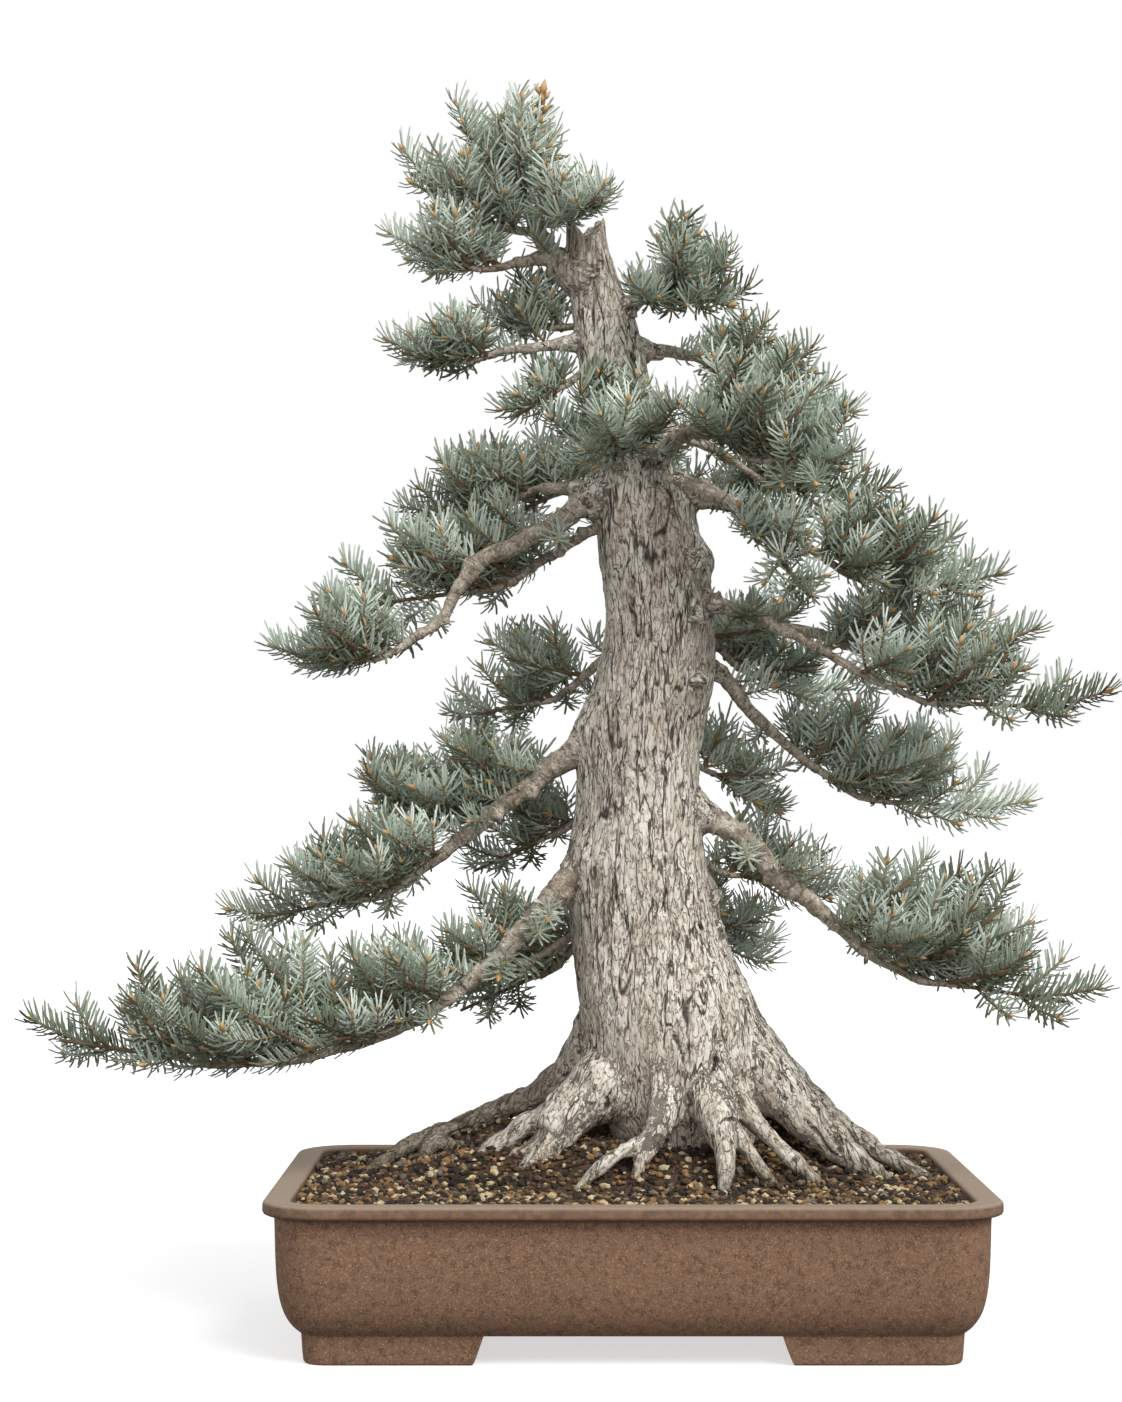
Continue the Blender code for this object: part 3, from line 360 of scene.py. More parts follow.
# Painted highlight along the rim's top edge
RIM_TOP_HIGHLIGHT = srgb(172, 156, 137)
BED_LIGHT = srgb(96, 74, 56)

# The photograph's horizon lies this far below its middle, and its focal length, in pixels
HORIZON_DROP = 93
FOCAL_PIXELS = 2943
CAMERA_PITCH = math.atan(HORIZON_DROP / FOCAL_PIXELS)


# Settings


def setting(kind, name, description, default, **more):
    return kind(name=name, description=description, default=default, **more)


number_setting = functools.partial(setting, FloatProperty)
length_setting = functools.partial(setting, FloatProperty, unit="LENGTH", precision=5)
angle_setting = functools.partial(setting, FloatProperty, subtype="ANGLE")
count_setting = functools.partial(setting, IntProperty)
colour_setting = functools.partial(setting, FloatVectorProperty, subtype="COLOR", size=3, min=0, max=1)


class FirBarkSettings(bpy.types.PropertyGroup):
    """Bark of the trunk and boughs"""

    voxel: length_setting("Grain", "Spacing of the points in the trunk's skin", 2.1 * MM)
    ridge: length_setting("Ridges", "Height of the long low ridges of the bark", 2.0 * MM)
    flake: length_setting("Flakes", "Height of the small flakes", 1.3 * MM)
    crack_depth: length_setting("Crack depth", "Depth of the long fissures", 1.7 * MM)
    pale: colour_setting("Pale", "Weathered face of a flake", srgb(238, 232, 220))
    mid: colour_setting("Middle", "Plain bark", srgb(186, 171, 152))
    # Painted shade, laid on the bark between the flakes
    shade: colour_setting("Shade", "Bark between the flakes", srgb(100, 82, 62))
    crack: colour_setting("Crack", "Floor of a fissure", srgb(58, 46, 36))
    snag: colour_setting("Dead wood", "Bare wood of the broken top", srgb(206, 196, 180))


class FirFoliageSettings(bpy.types.PropertyGroup):
    """Shoots, needles and buds"""

    needle_count: count_setting("Needles", "Number of needles on the tree", 56000, min=1000)
    needle_length: length_setting("Needle length", "Length of a needle", 21 * MM)
    needle_width: length_setting("Needle width", "Width of a needle", 2.3 * MM)
    shoot_radius: length_setting("Shoot radius", "Radius of a young shoot", 1.5 * MM)
    bud_length: length_setting("Bud length", "Length of the bud at a shoot's tip", 9 * MM)
    shoot_colour: colour_setting("Shoots", "Bark of the young shoots", srgb(150, 122, 86))
    bud_colour: colour_setting("Buds", "Resinous winter buds", srgb(204, 166, 116))


class FirPotSettings(bpy.types.PropertyGroup):
    """Clay of the pot"""

    clay: colour_setting("Clay", "Unglazed red-brown clay", srgb(124, 94, 76))
    worn: colour_setting("Worn clay", "Greyer clay of the rim and edges", srgb(130, 104, 86))
    speck: colour_setting("Specks", "Ochre specks in the clay", srgb(180, 146, 104))
    corner_steps: count_setting("Corner steps", "Segments of a pot corner", 14, min=4)


class FirSoilSettings(bpy.types.PropertyGroup):
    """Loose grains on the soil"""

    grain_count: count_setting("Grains", "Number of loose grains", 8000, min=100)
    grain_small: length_setting("Small grain", "Radius of the smallest grains", 2.2 * MM)
    grain_large: length_setting("Large grain", "Radius of the largest grains", 5.0 * MM)
    heap: length_setting("Heap", "Height of the soil heaped round the trunk", 36 * MM)
    bed: colour_setting("Bed", "Fine soil between the grains", srgb(50, 38, 28))


class FirStudioSettings(bpy.types.PropertyGroup):
    """Camera, floor and lights"""

    camera_distance: length_setting("Camera distance", "From the camera to the tree", 2.77)
    camera_height: length_setting("Camera height", "Height of the camera", 0.497)
    camera_pitch: angle_setting("Camera pitch", "How far the camera looks up", CAMERA_PITCH)
    camera_lens: number_setting("Focal length", "Focal length in millimetres", 75.6)
    sun: number_setting("Sun", "Strength of the main soft light", 2.5)
    sun_softness: angle_setting("Softness", "Angle that the main light spans", math.radians(32))
    fill_power: number_setting("Fill", "Power of the front fill in watts", 7)
    horizon: number_setting("Horizon", "Brightness of the pale backdrop", 1.0)
    sky: number_setting("Sky", "Brightness of the even light from above", 0.48)
    below: number_setting("Below", "Brightness of the light from under the tree", 0.22)
    floor: colour_setting("Floor", "Pale studio floor", (0.55, 0.55, 0.555))
    floor_glow: number_setting("Floor glow", "Light that the backdrop adds to the floor", 0.62)


# Shader maths


class Link:
    """A value in a material's tree, so that shader maths reads as plain sums."""

    def __init__(self, tree, socket):
        self.tree = tree
        self.socket = socket

    def maths(self, operation, *values, clamp=False):
        made = self.tree.nodes.new("ShaderNodeMath")
        made.operation = operation
        made.use_clamp = clamp
        for socket, value in zip(made.inputs, values):
            connect(self.tree, socket, value)
        return Link(self.tree, made.outputs[0])

    def __add__(self, other):
        return self.maths("ADD", self, other)

    __radd__ = __add__

    def __sub__(self, other):
        return self.maths("SUBTRACT", self, other)

    def __rsub__(self, other):
        return self.maths("SUBTRACT", other, self)

    def __mul__(self, other):
        return self.maths("MULTIPLY", self, other)

    __rmul__ = __mul__

    def __abs__(self):
        return self.maths("ABSOLUTE", self)

    def between(self, low, high):
        """0 at the low value and 1 at the high one, which may be the smaller."""
        return self.maths("MULTIPLY", self - low, 1 / (high - low), clamp=True)


def connect(tree, socket, value):
    if isinstance(value, Link):
        tree.links.new(value.socket, socket)
    elif value is not None:
        socket.default_value = (*value, 1) if socket.type == "RGBA" and len(value) == 3 else value


def socket_of(sockets, key):
    """One of a node's sockets, by its name, its identifier or its number."""
    if isinstance(key, int):
        return sockets[key]
    return next(socket for socket in sockets if key in (socket.identifier, socket.name))


class Finish:
    """A material being made, with its Principled surface."""

    def __init__(self, name):
        self.material = bpy.data.materials.new(name)
        self.material.use_nodes = True
        self.tree = self.material.node_tree
        self.surface = self.tree.nodes["Principled BSDF"]

    def surface_values(self, values):
        for key, value in values.items():
            connect(self.tree, self.surface.inputs[key], value)

    def coat(self, colour, roughness, level=None):
        """The surface's colour, roughness and shine."""
        self.surface_values({"Base Color": colour, "Roughness": roughness, "Specular IOR Level": level})
        if isinstance(colour, tuple):
            self.material.diffuse_color = (*colour, 1)

    def node(self, kind, settings=None, values=None, output=0):
        """Any other node: settings first, then its sockets by name or identifier."""
        made = self.tree.nodes.new("ShaderNode" + kind)
        for key, value in (settings or {}).items():
            setattr(made, key, value)
        for key, value in (values or {}).items():
            connect(self.tree, socket_of(made.inputs, key), value)
        return Link(self.tree, socket_of(made.outputs, output))

    def place(self, scale=(1, 1, 1)):
        """Object coordinates, stretched."""
        where = self.node("TexCoord", output="Object")
        return self.node("Mapping", values={"Vector": where, "Scale": scale})

    def height(self):
        """Height above the ground, in metres."""
        return self.node("SeparateXYZ", values={"Vector": self.place()}, output="Z")

    def cloud(self, scale, detail=3, where=None, stretch=(1, 1, 1)):
        where = where or self.place(stretch)
        values = {"Vector": where, "Scale": scale, "Detail": detail}
        return self.node("TexNoise", values=values, output="Fac")

    def cells(self, scale):
        values = {"Vector": self.place(), "Scale": scale}
        return self.node("TexVoronoi", values=values, output="Distance")

    def blend(self, share, first, second):
        """Colours mixed by a share."""
        values = {"Factor_Float": share, "A_Color": first, "B_Color": second}
        return self.node("Mix", {"data_type": "RGBA"}, values, "Result_Color")

    def layered(self, colour, *layers):
        """Colours laid over one another, each by its share."""
        for share, over in layers:
            colour = self.blend(share, colour, over)
        return colour

    def reading(self, attribute, output="Fac"):
        return self.node("Attribute", {"attribute_name": attribute}, output=output)

    def bent(self, where, scale, reach, stretch=(1, 1, 1)):
        """A place swirled by a coloured cloud, so that a pattern on it curls."""
        swirl = self.node("TexNoise", values={"Vector": where, "Scale": scale}, output="Color")
        spread = {"Vector": swirl, "Vector_001": (reach, reach, reach), "Vector_002": where}
        moved = self.node("VectorMath", {"operation": "MULTIPLY_ADD"}, spread)
        return self.node("Mapping", values={"Vector": moved, "Scale": stretch})

    def bump(self, height, strength, distance):
        values = {"Height": height, "Strength": strength, "Distance": distance}
        self.surface_values({"Normal": self.node("Bump", values=values, output="Normal")})


# Finishes


def bark_finish(settings):
    """Fine wrinkled bark with long dark fissures, painted shade between the flakes and on the roots that lie
    in shade, darker towards the foot and the soil, and bare dead wood at the broken top.
    """
    finish = Finish("fir_bark")
    grain = finish.reading("grain", "Vector")
    patch = finish.cloud(60, 4, grain)
    curled = finish.bent(grain, 170, 5 * MM, (1, 1, 0.8))
    scales = finish.cloud(330, 4, curled)
    wrinkle = abs(finish.cloud(210, 2, curled) - 0.5).between(0.040, 0.006)
    swung = finish.bent(grain, 45, 12 * MM, (1, 1, 0.32))
    strip = abs(finish.cloud(85, 3, swung) - 0.5).between(0.026, 0.006) * patch.between(0.42, 0.50)
    fissure = abs(finish.reading("split")).between(0.030, 0.008)
    height = finish.height()
    thread = finish.cloud(260, 3, stretch=(1, 1, 0.06))
    wood = finish.blend(thread.between(0.36, 0.62), DEAD_GRAIN, settings.snag)
    dead = (height + patch * 0.05).between(0.975, 1.02)
    colour = finish.layered(
        settings.mid,
        ((scales + patch * 0.7 + finish.reading("tone") * 0.25).between(0.72, 1.14), settings.pale),
        # Painted shade in the hollows between the flakes, where the bump sinks
        (scales.between(0.44, 0.32) * 0.6, settings.shade),
        (wrinkle * 0.65, WRINKLE_BROWN),
        (finish.cloud(280, 2, curled).between(0.60, 0.66) * 0.6, FLECK_PALE),
        (finish.cloud(130, 4, grain).between(0.60, 0.72) * 0.3, RUST),
        (strip * 0.9, TORN_BARK),
        (fissure * 0.9, settings.crack),
        # Painted shade: the roots that lie in shade are painted darker brown
        (finish.reading("brown") * 0.62, ROOT_SHADE_BROWN),
        # Darker towards the foot of the trunk
        ((height + patch * 0.10).between(0.30, 0.24) * 0.20, LOW_TRUNK_DARK),
        # Darker towards the soil
        ((height + patch * 0.03).between(0.184, 0.150) * 0.6, NEAR_SOIL_DARK),
        (dead * 0.85, wood),
    )
    finish.coat(colour, 0.94 - scales * 0.14, 0.2)
    finish.bump(scales * 1.1 + thread * dead - wrinkle * 0.5 - strip - fissure, 1.0, 1.8 * MM)
    return finish.material


def bough_finish():
    """Smoother bark of the limbs, with fine wrinkles across and small dark cracks."""
    finish = Finish("fir_bough_bark")
    grain = finish.reading("grain", "Vector")
    drift = finish.cloud(50, 4, grain)
    scales = finish.cloud(360, 4, finish.bent(grain, 200, 4 * MM))
    rings = finish.cloud(230, 3, finish.bent(grain, 90, 5 * MM, (0.6, 0.6, 1.5)))
    colour = finish.layered(
        BOUGH_PLAIN,
        ((drift * 0.8 + scales * 0.8).between(0.62, 1.02), BOUGH_PALE),
        (rings.between(0.44, 0.34) * 0.75, BOUGH_RING),
        (abs(scales - 0.5).between(0.035, 0.0) * 0.65, TORN_BARK),
    )
    colour = finish.blend(finish.reading("crack") * 0.45 + 0.55, BOUGH_CRACK, colour)
    finish.coat(colour, 0.92 - rings * 0.12, 0.25)
    finish.bump(scales + rings * 0.9, 1.0, 1.6 * MM)
    return finish.material


def clay_finish(settings):
    """Unglazed clay with fine ochre and dark specks, smoother and greyer at the rim, with painted shade under
    the rim's lip and a painted highlight along its top edge.
    """
    finish = Finish("fir_pot_clay")
    mottle = finish.cloud(150, 5)
    grit = finish.cloud(620, 2)
    worms = abs(finish.cloud(330, 2) - 0.5).between(0.035, 0.0)
    dots = finish.cells(300).between(0.24, 0.10) * mottle.between(0.46, 0.60)
    height = finish.height()
    rim = height.between(126 * MM, 131 * MM)
    edge = finish.layered(
        RIM_DARK,
        (mottle.between(0.35, 0.65), settings.worn),
        # Painted shade under the rim's lip, and a painted highlight along its top edge
        (height.between(133 * MM, 130 * MM) * 0.7, RIM_SHADOW),
        (height.between(139 * MM, 141.5 * MM) * 0.7, RIM_TOP_HIGHLIGHT),
    )
    colour = finish.layered(
        settings.clay,
        (finish.cloud(6, 4).between(0.35, 0.65) * 0.5, CLAY_LIGHT),
        (worms * grit.between(0.42, 0.56) * 0.85, settings.speck),
        (dots * 0.8, CLAY_DOT),
        ((grit * 0.5 + mottle * 0.5).between(0.50, 0.38) * 0.7, CLAY_DARK),
        (rim * 0.85, edge),
    )
    finish.coat(colour, 0.74 + mottle * 0.14 - rim * 0.10, 0.3)
    finish.bump(grit * 0.8 + mottle * 0.5 + dots * 0.3, 0.4, 0.6 * MM)
    return finish.material


def bed_finish(settings):
    """Fine dark soil between the grains."""
    finish = Finish("fir_soil_bed")
    fine = finish.cloud(260, 5)
    finish.coat(finish.blend(fine.between(0.4, 0.7), settings.bed, BED_LIGHT), 0.95)
    finish.bump(fine, 0.8, 2 * MM)
    return finish.material


def grain_finish(name, colour):
    """One kind of mineral grain."""
    finish = Finish("fir_grain_" + name)
    mottle = finish.cloud(380, 3)
    darker = tuple(0.6 * value for value in colour)
    finish.coat(finish.blend(mottle.between(0.35, 0.65), darker, colour), 0.9)
    finish.bump(mottle, 0.5, 0.6 * MM)
    return finish.material


def plain_finish(name, colour, roughness):
    """One plain colour, for needles and other small things."""
    finish = Finish(name)
    finish.coat(tuple(colour), roughness, 0.4)
    return finish.material


# Meshes from arrays


def in_scene(name, data):
    """A new object of the scene, for a mesh, a light or a camera."""
    made = bpy.data.objects.new(name, data)
    bpy.context.scene.collection.objects.link(made)
    return made


def as_piece(mesh, nodes, finishes):
    """Put a finished mesh in the scene as a piece that stands for CAD nodes."""
    piece = in_scene(mesh.name, mesh)
    for finish in finishes:
        mesh.materials.append(finish)
    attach(piece, BODY)
    if nodes:
        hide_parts(*nodes)
    return piece


def mesh_of(shape, name):
    """A shape's finished mesh."""
    mesh = bpy.data.meshes.new(name)
    shape.to_mesh(mesh)
    shape.free()
    return mesh


def combined(parts):
    """The points and faces of many parts as one."""
    steps = np.cumsum([0] + [len(points) for points, _ in parts[:-1]])
    faces = [faces + step for (_, faces), step in zip(parts, steps)]
    return np.concatenate([points for points, _ in parts]), np.concatenate(faces)


def joined_mesh(name, points, faces, smooth=False, kinds=None):
    """One mesh from an array of points and an array of triangles."""
    mesh = bpy.data.meshes.new(name)
    mesh.vertices.add(len(points))
    mesh.vertices.foreach_set("co", np.ascontiguousarray(points, np.float32).ravel())
    mesh.loops.add(faces.size)
    mesh.loops.foreach_set("vertex_index", np.ascontiguousarray(faces, np.int32).ravel())
    mesh.polygons.add(len(faces))
    mesh.polygons.foreach_set("loop_start", np.arange(0, faces.size, faces.shape[1], dtype=np.int32))
    if kinds is not None:
        mesh.polygons.foreach_set("material_index", np.ascontiguousarray(kinds, np.int32))
    mesh.update(calc_edges=True)
    mesh.validate()
    mesh.shade_smooth() if smooth else mesh.shade_flat()
    return mesh


def unit(vectors):
    return vectors / np.maximum(np.linalg.norm(vectors, axis=-1, keepdims=True), 1e-12)


def repeated(template, count, step):
    """A template's triangles for each of many copies."""
    return (template[None] + step * np.arange(count)[:, None, None]).reshape(-1, 3)


def even_turns(count):
    return 2 * np.pi * np.arange(count) / count


def turn_apart(turns, turn):
    """How far each turn is from another, the short way round."""
    return np.angle(np.exp(1j * (turns - turn)))


def bell(values):
    """1 at zero, and falling off smoothly on both sides of it."""
    return np.exp(-(values**2))


def tubes(lines, radii, sides):
    """Points and triangles of closed tubes: lines is (tube, ring, 3), radii (tube, ring)."""
    count, rings, _ = lines.shape
    along = unit(np.gradient(lines, axis=1))
    mean = unit(lines[:, -1] - lines[:, 0])
    upright = np.abs(mean[:, 2:]) > 0.9
    reference = np.where(upright, np.array(BACK), np.array(UP))[:, None, :]
    across = unit(np.cross(np.broadcast_to(reference, along.shape), along))
    over = np.cross(along, across)
    turns = even_turns(sides)
    spokes = np.cos(turns)[:, None] * across[:, :, None, :] + np.sin(turns)[:, None] * over[:, :, None, :]
    if radii.ndim == 2:
        radii = radii[:, :, None]
    rim = lines[:, :, None, :] + radii[..., None] * spokes
    ends = np.stack([lines[:, 0], lines[:, -1]], axis=1)
    points = np.concatenate([rim.reshape(count, -1, 3), ends], axis=1)
    template = []
    for ring, side in itertools.product(range(rings - 1), range(sides)):
        start = ring * sides
        after = (side + 1) % sides
        template.append((start + side, start + after, start + sides + after))
        template.append((start + side, start + sides + after, start + sides + side))
    last = (rings - 1) * sides
    for side in range(sides):
        after = (side + 1) % sides
        template.append((rings * sides, after, side))
        template.append((rings * sides + 1, last + side, last + after))
    return points.reshape(-1, 3), repeated(np.array(template), count, rings * sides + 2)


def chance(cells, seed):
    """A repeatable random value for each whole-number cell."""
    mixed = cells @ np.array((127.1, 311.7, 74.7)) + 17.3 * seed
    return np.modf(np.abs(np.sin(mixed)) * 43758.5453)[0]


def cloud_noise(points, seed):
    """Smooth noise from 0 to 1."""
    base = np.floor(points)
    share = points - base
    share = share * share * (3 - 2 * share)
    total = np.zeros(len(points))
    for corner in itertools.product((0, 1), repeat=3):
        weight = np.prod(np.where(corner, share, 1 - share), axis=1)
        total += weight * chance(base + corner, seed)
    return total


def wander(points, seed):
    """Smooth noise in three directions, from -1 to 1."""
    return 2 * np.stack([cloud_noise(points, 3 * seed + axis) for axis in range(3)], axis=1) - 1


def eased(values, low, high):
    share = np.clip((values - low) / (high - low), 0, 1)
    return share * share * (3 - 2 * share)


# Limbs, by the rule of the solids


def heading_vector(degrees):
    angle = math.radians(degrees)
    return Vector((math.cos(angle), math.sin(angle), 0))


def with_ends(rows):
    """Points or rows with one more at each end, carried straight on."""
    return [2 * rows[0] - rows[1], *rows, 2 * rows[-1] - rows[-2]]


def catmull(before, start, end, after, share):
    """A point of the smooth curve between start and end."""
    a = 2 * start
    b = end - before
    c = 2 * before - 5 * start + 4 * end - after
    d = 3 * start - before - 3 * end + after
    return (a + share * (b + share * (c + share * d))) / 2


def smooth_path(points, step):
    """Points about a step apart along a smooth curve through the given ones."""
    ends = with_ends(points)
    fine = []
    for before, start, end, after in zip(ends, ends[1:], ends[2:], ends[3:]):
        fine += [catmull(before, start, end, after, index / CURVE_SAMPLES) for index in range(CURVE_SAMPLES)]
    fine.append(points[-1])
    travelled = [0.0]
    for start, end in zip(fine, fine[1:]):
        travelled.append(travelled[-1] + (end - start).length)
    count = max(2, round(travelled[-1] / step))
    columns = [
        np.interp(np.linspace(0, travelled[-1], count + 1), travelled, [point[axis] for point in fine])
        for axis in range(3)
    ]
    return [Vector(point) for point in zip(*columns)]


def path_length(path):
    return sum((end - start).length for start, end in zip(path, path[1:]))


def place_on(path, share):
    """The point and the direction at a share of a path's length."""
    left = share * path_length(path)
    for start, end in zip(path[:-2], path[1:-1]):
        stretch = (end - start).length
        if left <= stretch:
            return start.lerp(end, left / stretch), (end - start).normalized()
        left -= stretch
    start, end = path[-2:]
    return start.lerp(end, min(1.0, left / (end - start).length)), (end - start).normalized()


def trunk_at(height):
    """Middle of the trunk and its radius at a height."""
    rows = with_ends([np.array(row) * MM for row in TRUNK])
    index = 1
    while index < len(rows) - 3 and rows[index + 1][0] < height:
        index += 1
    before, start, end, after = rows[index - 1 : index + 3]
    share = min(1.0, max(0.0, (height - start[0]) / (end[0] - start[0])))
    _, x, y, radius = catmull(before, start, end, after, share)
    return Vector((x, y, height)), float(radius)


def trunk_radius(height, angle):
    """Radius with the gentle lobes and the named swellings."""
    radius = trunk_at(height)[1]
    lobes = sum(share * math.sin(count * angle + twist * height) for count, twist, share in LOBES)
    out = radius * (1 + lobes)
    for level, turn, swell, tall, wide in SWELLINGS:
        off = math.remainder(angle - math.radians(turn), 2 * math.pi) * radius
        out += swell * MM * math.exp(-(((height - level * MM) / (tall * MM)) ** 2) - (off / (wide * MM)) ** 2)
    return out


def root_line(name):
    """A root's points and radii, in metres."""
    points = ROOTS[name]
    return [Vector(point[:3]) * MM for point in points], [point[3] * MM for point in points]


def carrier_start(carrier, at, limbs):
    """Where a limb leaves its carrier, and the carrier's direction there."""
    if carrier == "trunk":
        return trunk_at(at * MM)[0], UP
    return place_on(limbs[carrier][0], at)


def bough_path(bough, limbs):
    """A bough's line, from its carrier's middle or tip."""
    start, along = carrier_start(bough.carrier, bough.at, limbs)
    if bough.at == 1.0:
        start = start - along * TIP_LAP
    out = heading_vector(bough.heading)
    points = [start] + [start + out * reach * MM + UP * rise * MM for reach, rise in bough.run]
    return smooth_path(points, BOUGH_STEP)


def bough_radii(bough, path):
    """Tapering radii, with a swollen collar where the bough leaves a trunk or limb."""
    length = path_length(path)
    clear = trunk_at(bough.at * MM)[1] if bough.carrier == "trunk" else 0.0
    radii = []
    for index in range(len(path)):
        share = index / (len(path) - 1)
        radius = (bough.base + (bough.tip - bough.base) * share**0.8) * MM / 2
        beyond = max(0.0, share * length - clear)
        radii.append(radius * (1 + COLLAR_SWELL * math.exp(-((beyond / COLLAR_LENGTH) ** 2))))
    return radii


class Space:
    """Balls that stand for what is already placed, each with the name of its owner."""

    def __init__(self):
        self.centres = np.zeros((0, 3))
        self.radii = np.zeros(0)
        self.owners = np.zeros(0, dtype=object)

    def add(self, owner, points, radii):
        self.centres = np.vstack([self.centres, np.array(points)])
        self.radii = np.concatenate([self.radii, np.broadcast_to(radii, len(points))])
        self.owners = np.concatenate([self.owners, np.full(len(points), owner, dtype=object)])

    def free(self, owner, points, radius):
        """Whether balls of one radius at the points touch nothing of another owner."""
        others = self.owners != owner
        centres = self.centres[others]
        reach = self.radii[others] + radius
        for point in points:
            if (np.linalg.norm(centres - np.array(point), axis=1) < reach).any():
                return False
        return True


def fine_points(path, step):
    count = max(2, round(path_length(path) / step))
    return [place_on(path, index / count)[0] for index in range(count + 1)]


def spray_length(mass):
    """Short masses have shorter sprays, so that their stems stand clear of the carrier."""
    outer = math.hypot(mass.reach, mass.rise) * MM
    if mass.carrier == "trunk":
        outer -= trunk_at(mass.at * MM)[1]
    return min(SPRAY_LONGEST, SPRAY_SHORTEST + SPRAY_SHARE * outer, SPRAY_OF_STEM * outer + SPRAY_ROOT)


def stem_path(mass, limbs):
    """The stem of a mass: out from its carrier and gently up to its tip."""
    start, along = carrier_start(mass.carrier, mass.at, limbs)
    out = heading_vector(mass.heading)
    aim = out
    if mass.at == 1.0:
        start = start - along * TIP_LAP
        aim = along
    tip = start + out * mass.reach * MM + UP * mass.rise * MM
    finish = ((tip - start).normalized() + UP * TIP_LIFT).normalized()
    tip = tip - finish * (spray_length(mass) - SPRAY_ROOT)
    span = (tip - start).length
    path = []
    count = max(3, round(span / STEM_STEP))
    for index in range(count + 1):
        share = index / count
        square, cube = share**2, share**3
        path.append(
            (2 * cube - 3 * square + 1) * start
            + (cube - 2 * square + share) * span * aim
            + (3 * square - 2 * cube) * tip
            + (cube - square) * span * finish
        )
    return path


def stem_radii(mass, limbs, path):
    if mass.at == 1.0:
        start = STEM_OF_TIP * limbs[mass.carrier][1][-1]
    else:
        fullness = min(1.0, mass.reach / FULL_REACH)
        start = TRUNK_STEM_LEAST + (TRUNK_STEM_RADIUS - TRUNK_STEM_LEAST) * fullness
    return [start + (STEM_TIP - start) * index / (len(path) - 1) for index in range(len(path))]


def hull(share):
    """How full a mass is along its stem, from 0 at its root to 1 at its tip."""
    opening = min(1.0, HULL_ROOT + HULL_OPENING * share)
    closing = 1 - HULL_CLOSING * max(0.0, (share - HULL_SHOULDER) / (1 - HULL_SHOULDER)) ** 1.4
    return opening * closing


def beside(along, least):
    """A level direction square to a line, and the one square to both. A line that stands so
    steep that the level one is shorter than the least takes the one across it from the back."""
    side = along.cross(UP)
    if side.length < least:
        side = along.cross(BACK)
    side.normalize()
    return side, side.cross(along)


def side_twigs(mass, path, draw):
    """Roots, directions and lengths of the twigs round a stem, by a seeded rule."""
    twigs = []
    for index in range(mass.twigs):
        leafy = (index + 0.5 + draw.uniform(-TWIG_JITTER, TWIG_JITTER)) / mass.twigs
        share = mass.bare + (LEAFY_END - mass.bare) * leafy
        root, along = place_on(path, share)
        side, over = beside(along, 0.35)
        roll = math.radians(ROLLS[index % len(ROLLS)] + draw.uniform(-10, 10))
        if along.z > 0.8:
            roll = math.radians(GOLDEN_TURN * index + draw.uniform(-12, 12))
        spread = math.radians(SPREAD - SPREAD_LOSS * leafy + draw.uniform(-6, 6))
        lateral = math.sin(roll) * side + math.cos(roll) * over
        direction = math.cos(spread) * along + math.sin(spread) * lateral
        room = 1 / math.hypot(math.sin(roll) / mass.width, math.cos(roll) / mass.loft)
        length = room * MM * hull(leafy) * draw.uniform(0.9, 1.05) / math.sin(spread)
        twigs.append((root, direction, length))
    return twigs


def spray_points(root, along, flat, length):
    """Rim and upper hubs of one spray's blade in the solids."""
    along = along.normalized()
    side = flat.cross(along).normalized()
    lift = along.cross(side) * SPRAY_THICK / 2 * length
    half = SPRAY_WIDTH / 2 * length
    outline = []
    for point_along, point_out, notch_along, notch_out in TEETH:
        outline += [(point_along, point_out), (notch_along, notch_out)]
    right = [root + along * length * x + side * half * y for x, y in outline]
    left = [root + along * length * x - side * half * y for x, y in outline[::-1]]
    rim = [root, *right, root + along * length, *left]
    near, far = [root + along * length * hub for hub in HUBS]
    return rim, (near + lift, far + 0.8 * lift)


def spray_samples(root, along, flat, length):
    """Points spread over a spray: each rim triangle's corners, edge thirds and middle."""
    rim, upper = spray_points(root, along, flat, length)
    samples = list(upper)
    for index, start in enumerate(rim):
        end = rim[(index + 1) % len(rim)]
        hub = upper[int(HUB_SPLIT <= index < len(rim) - HUB_SPLIT)]
        samples += [start.lerp(end, third / 3) for third in range(3)]
        samples += [start.lerp(hub, third / 3) for third in (1, 2)]
        samples.append((start + end + hub) / 3)
    return samples


def flat_side(along, roll):
    """The normal of a blade along a direction, rolled from facing up."""
    side, over = beside(along, 0.2)
    angle = math.radians(roll)
    return math.cos(angle) * over + math.sin(angle) * side


Spray = namedtuple("Spray", "mass root along flat length")


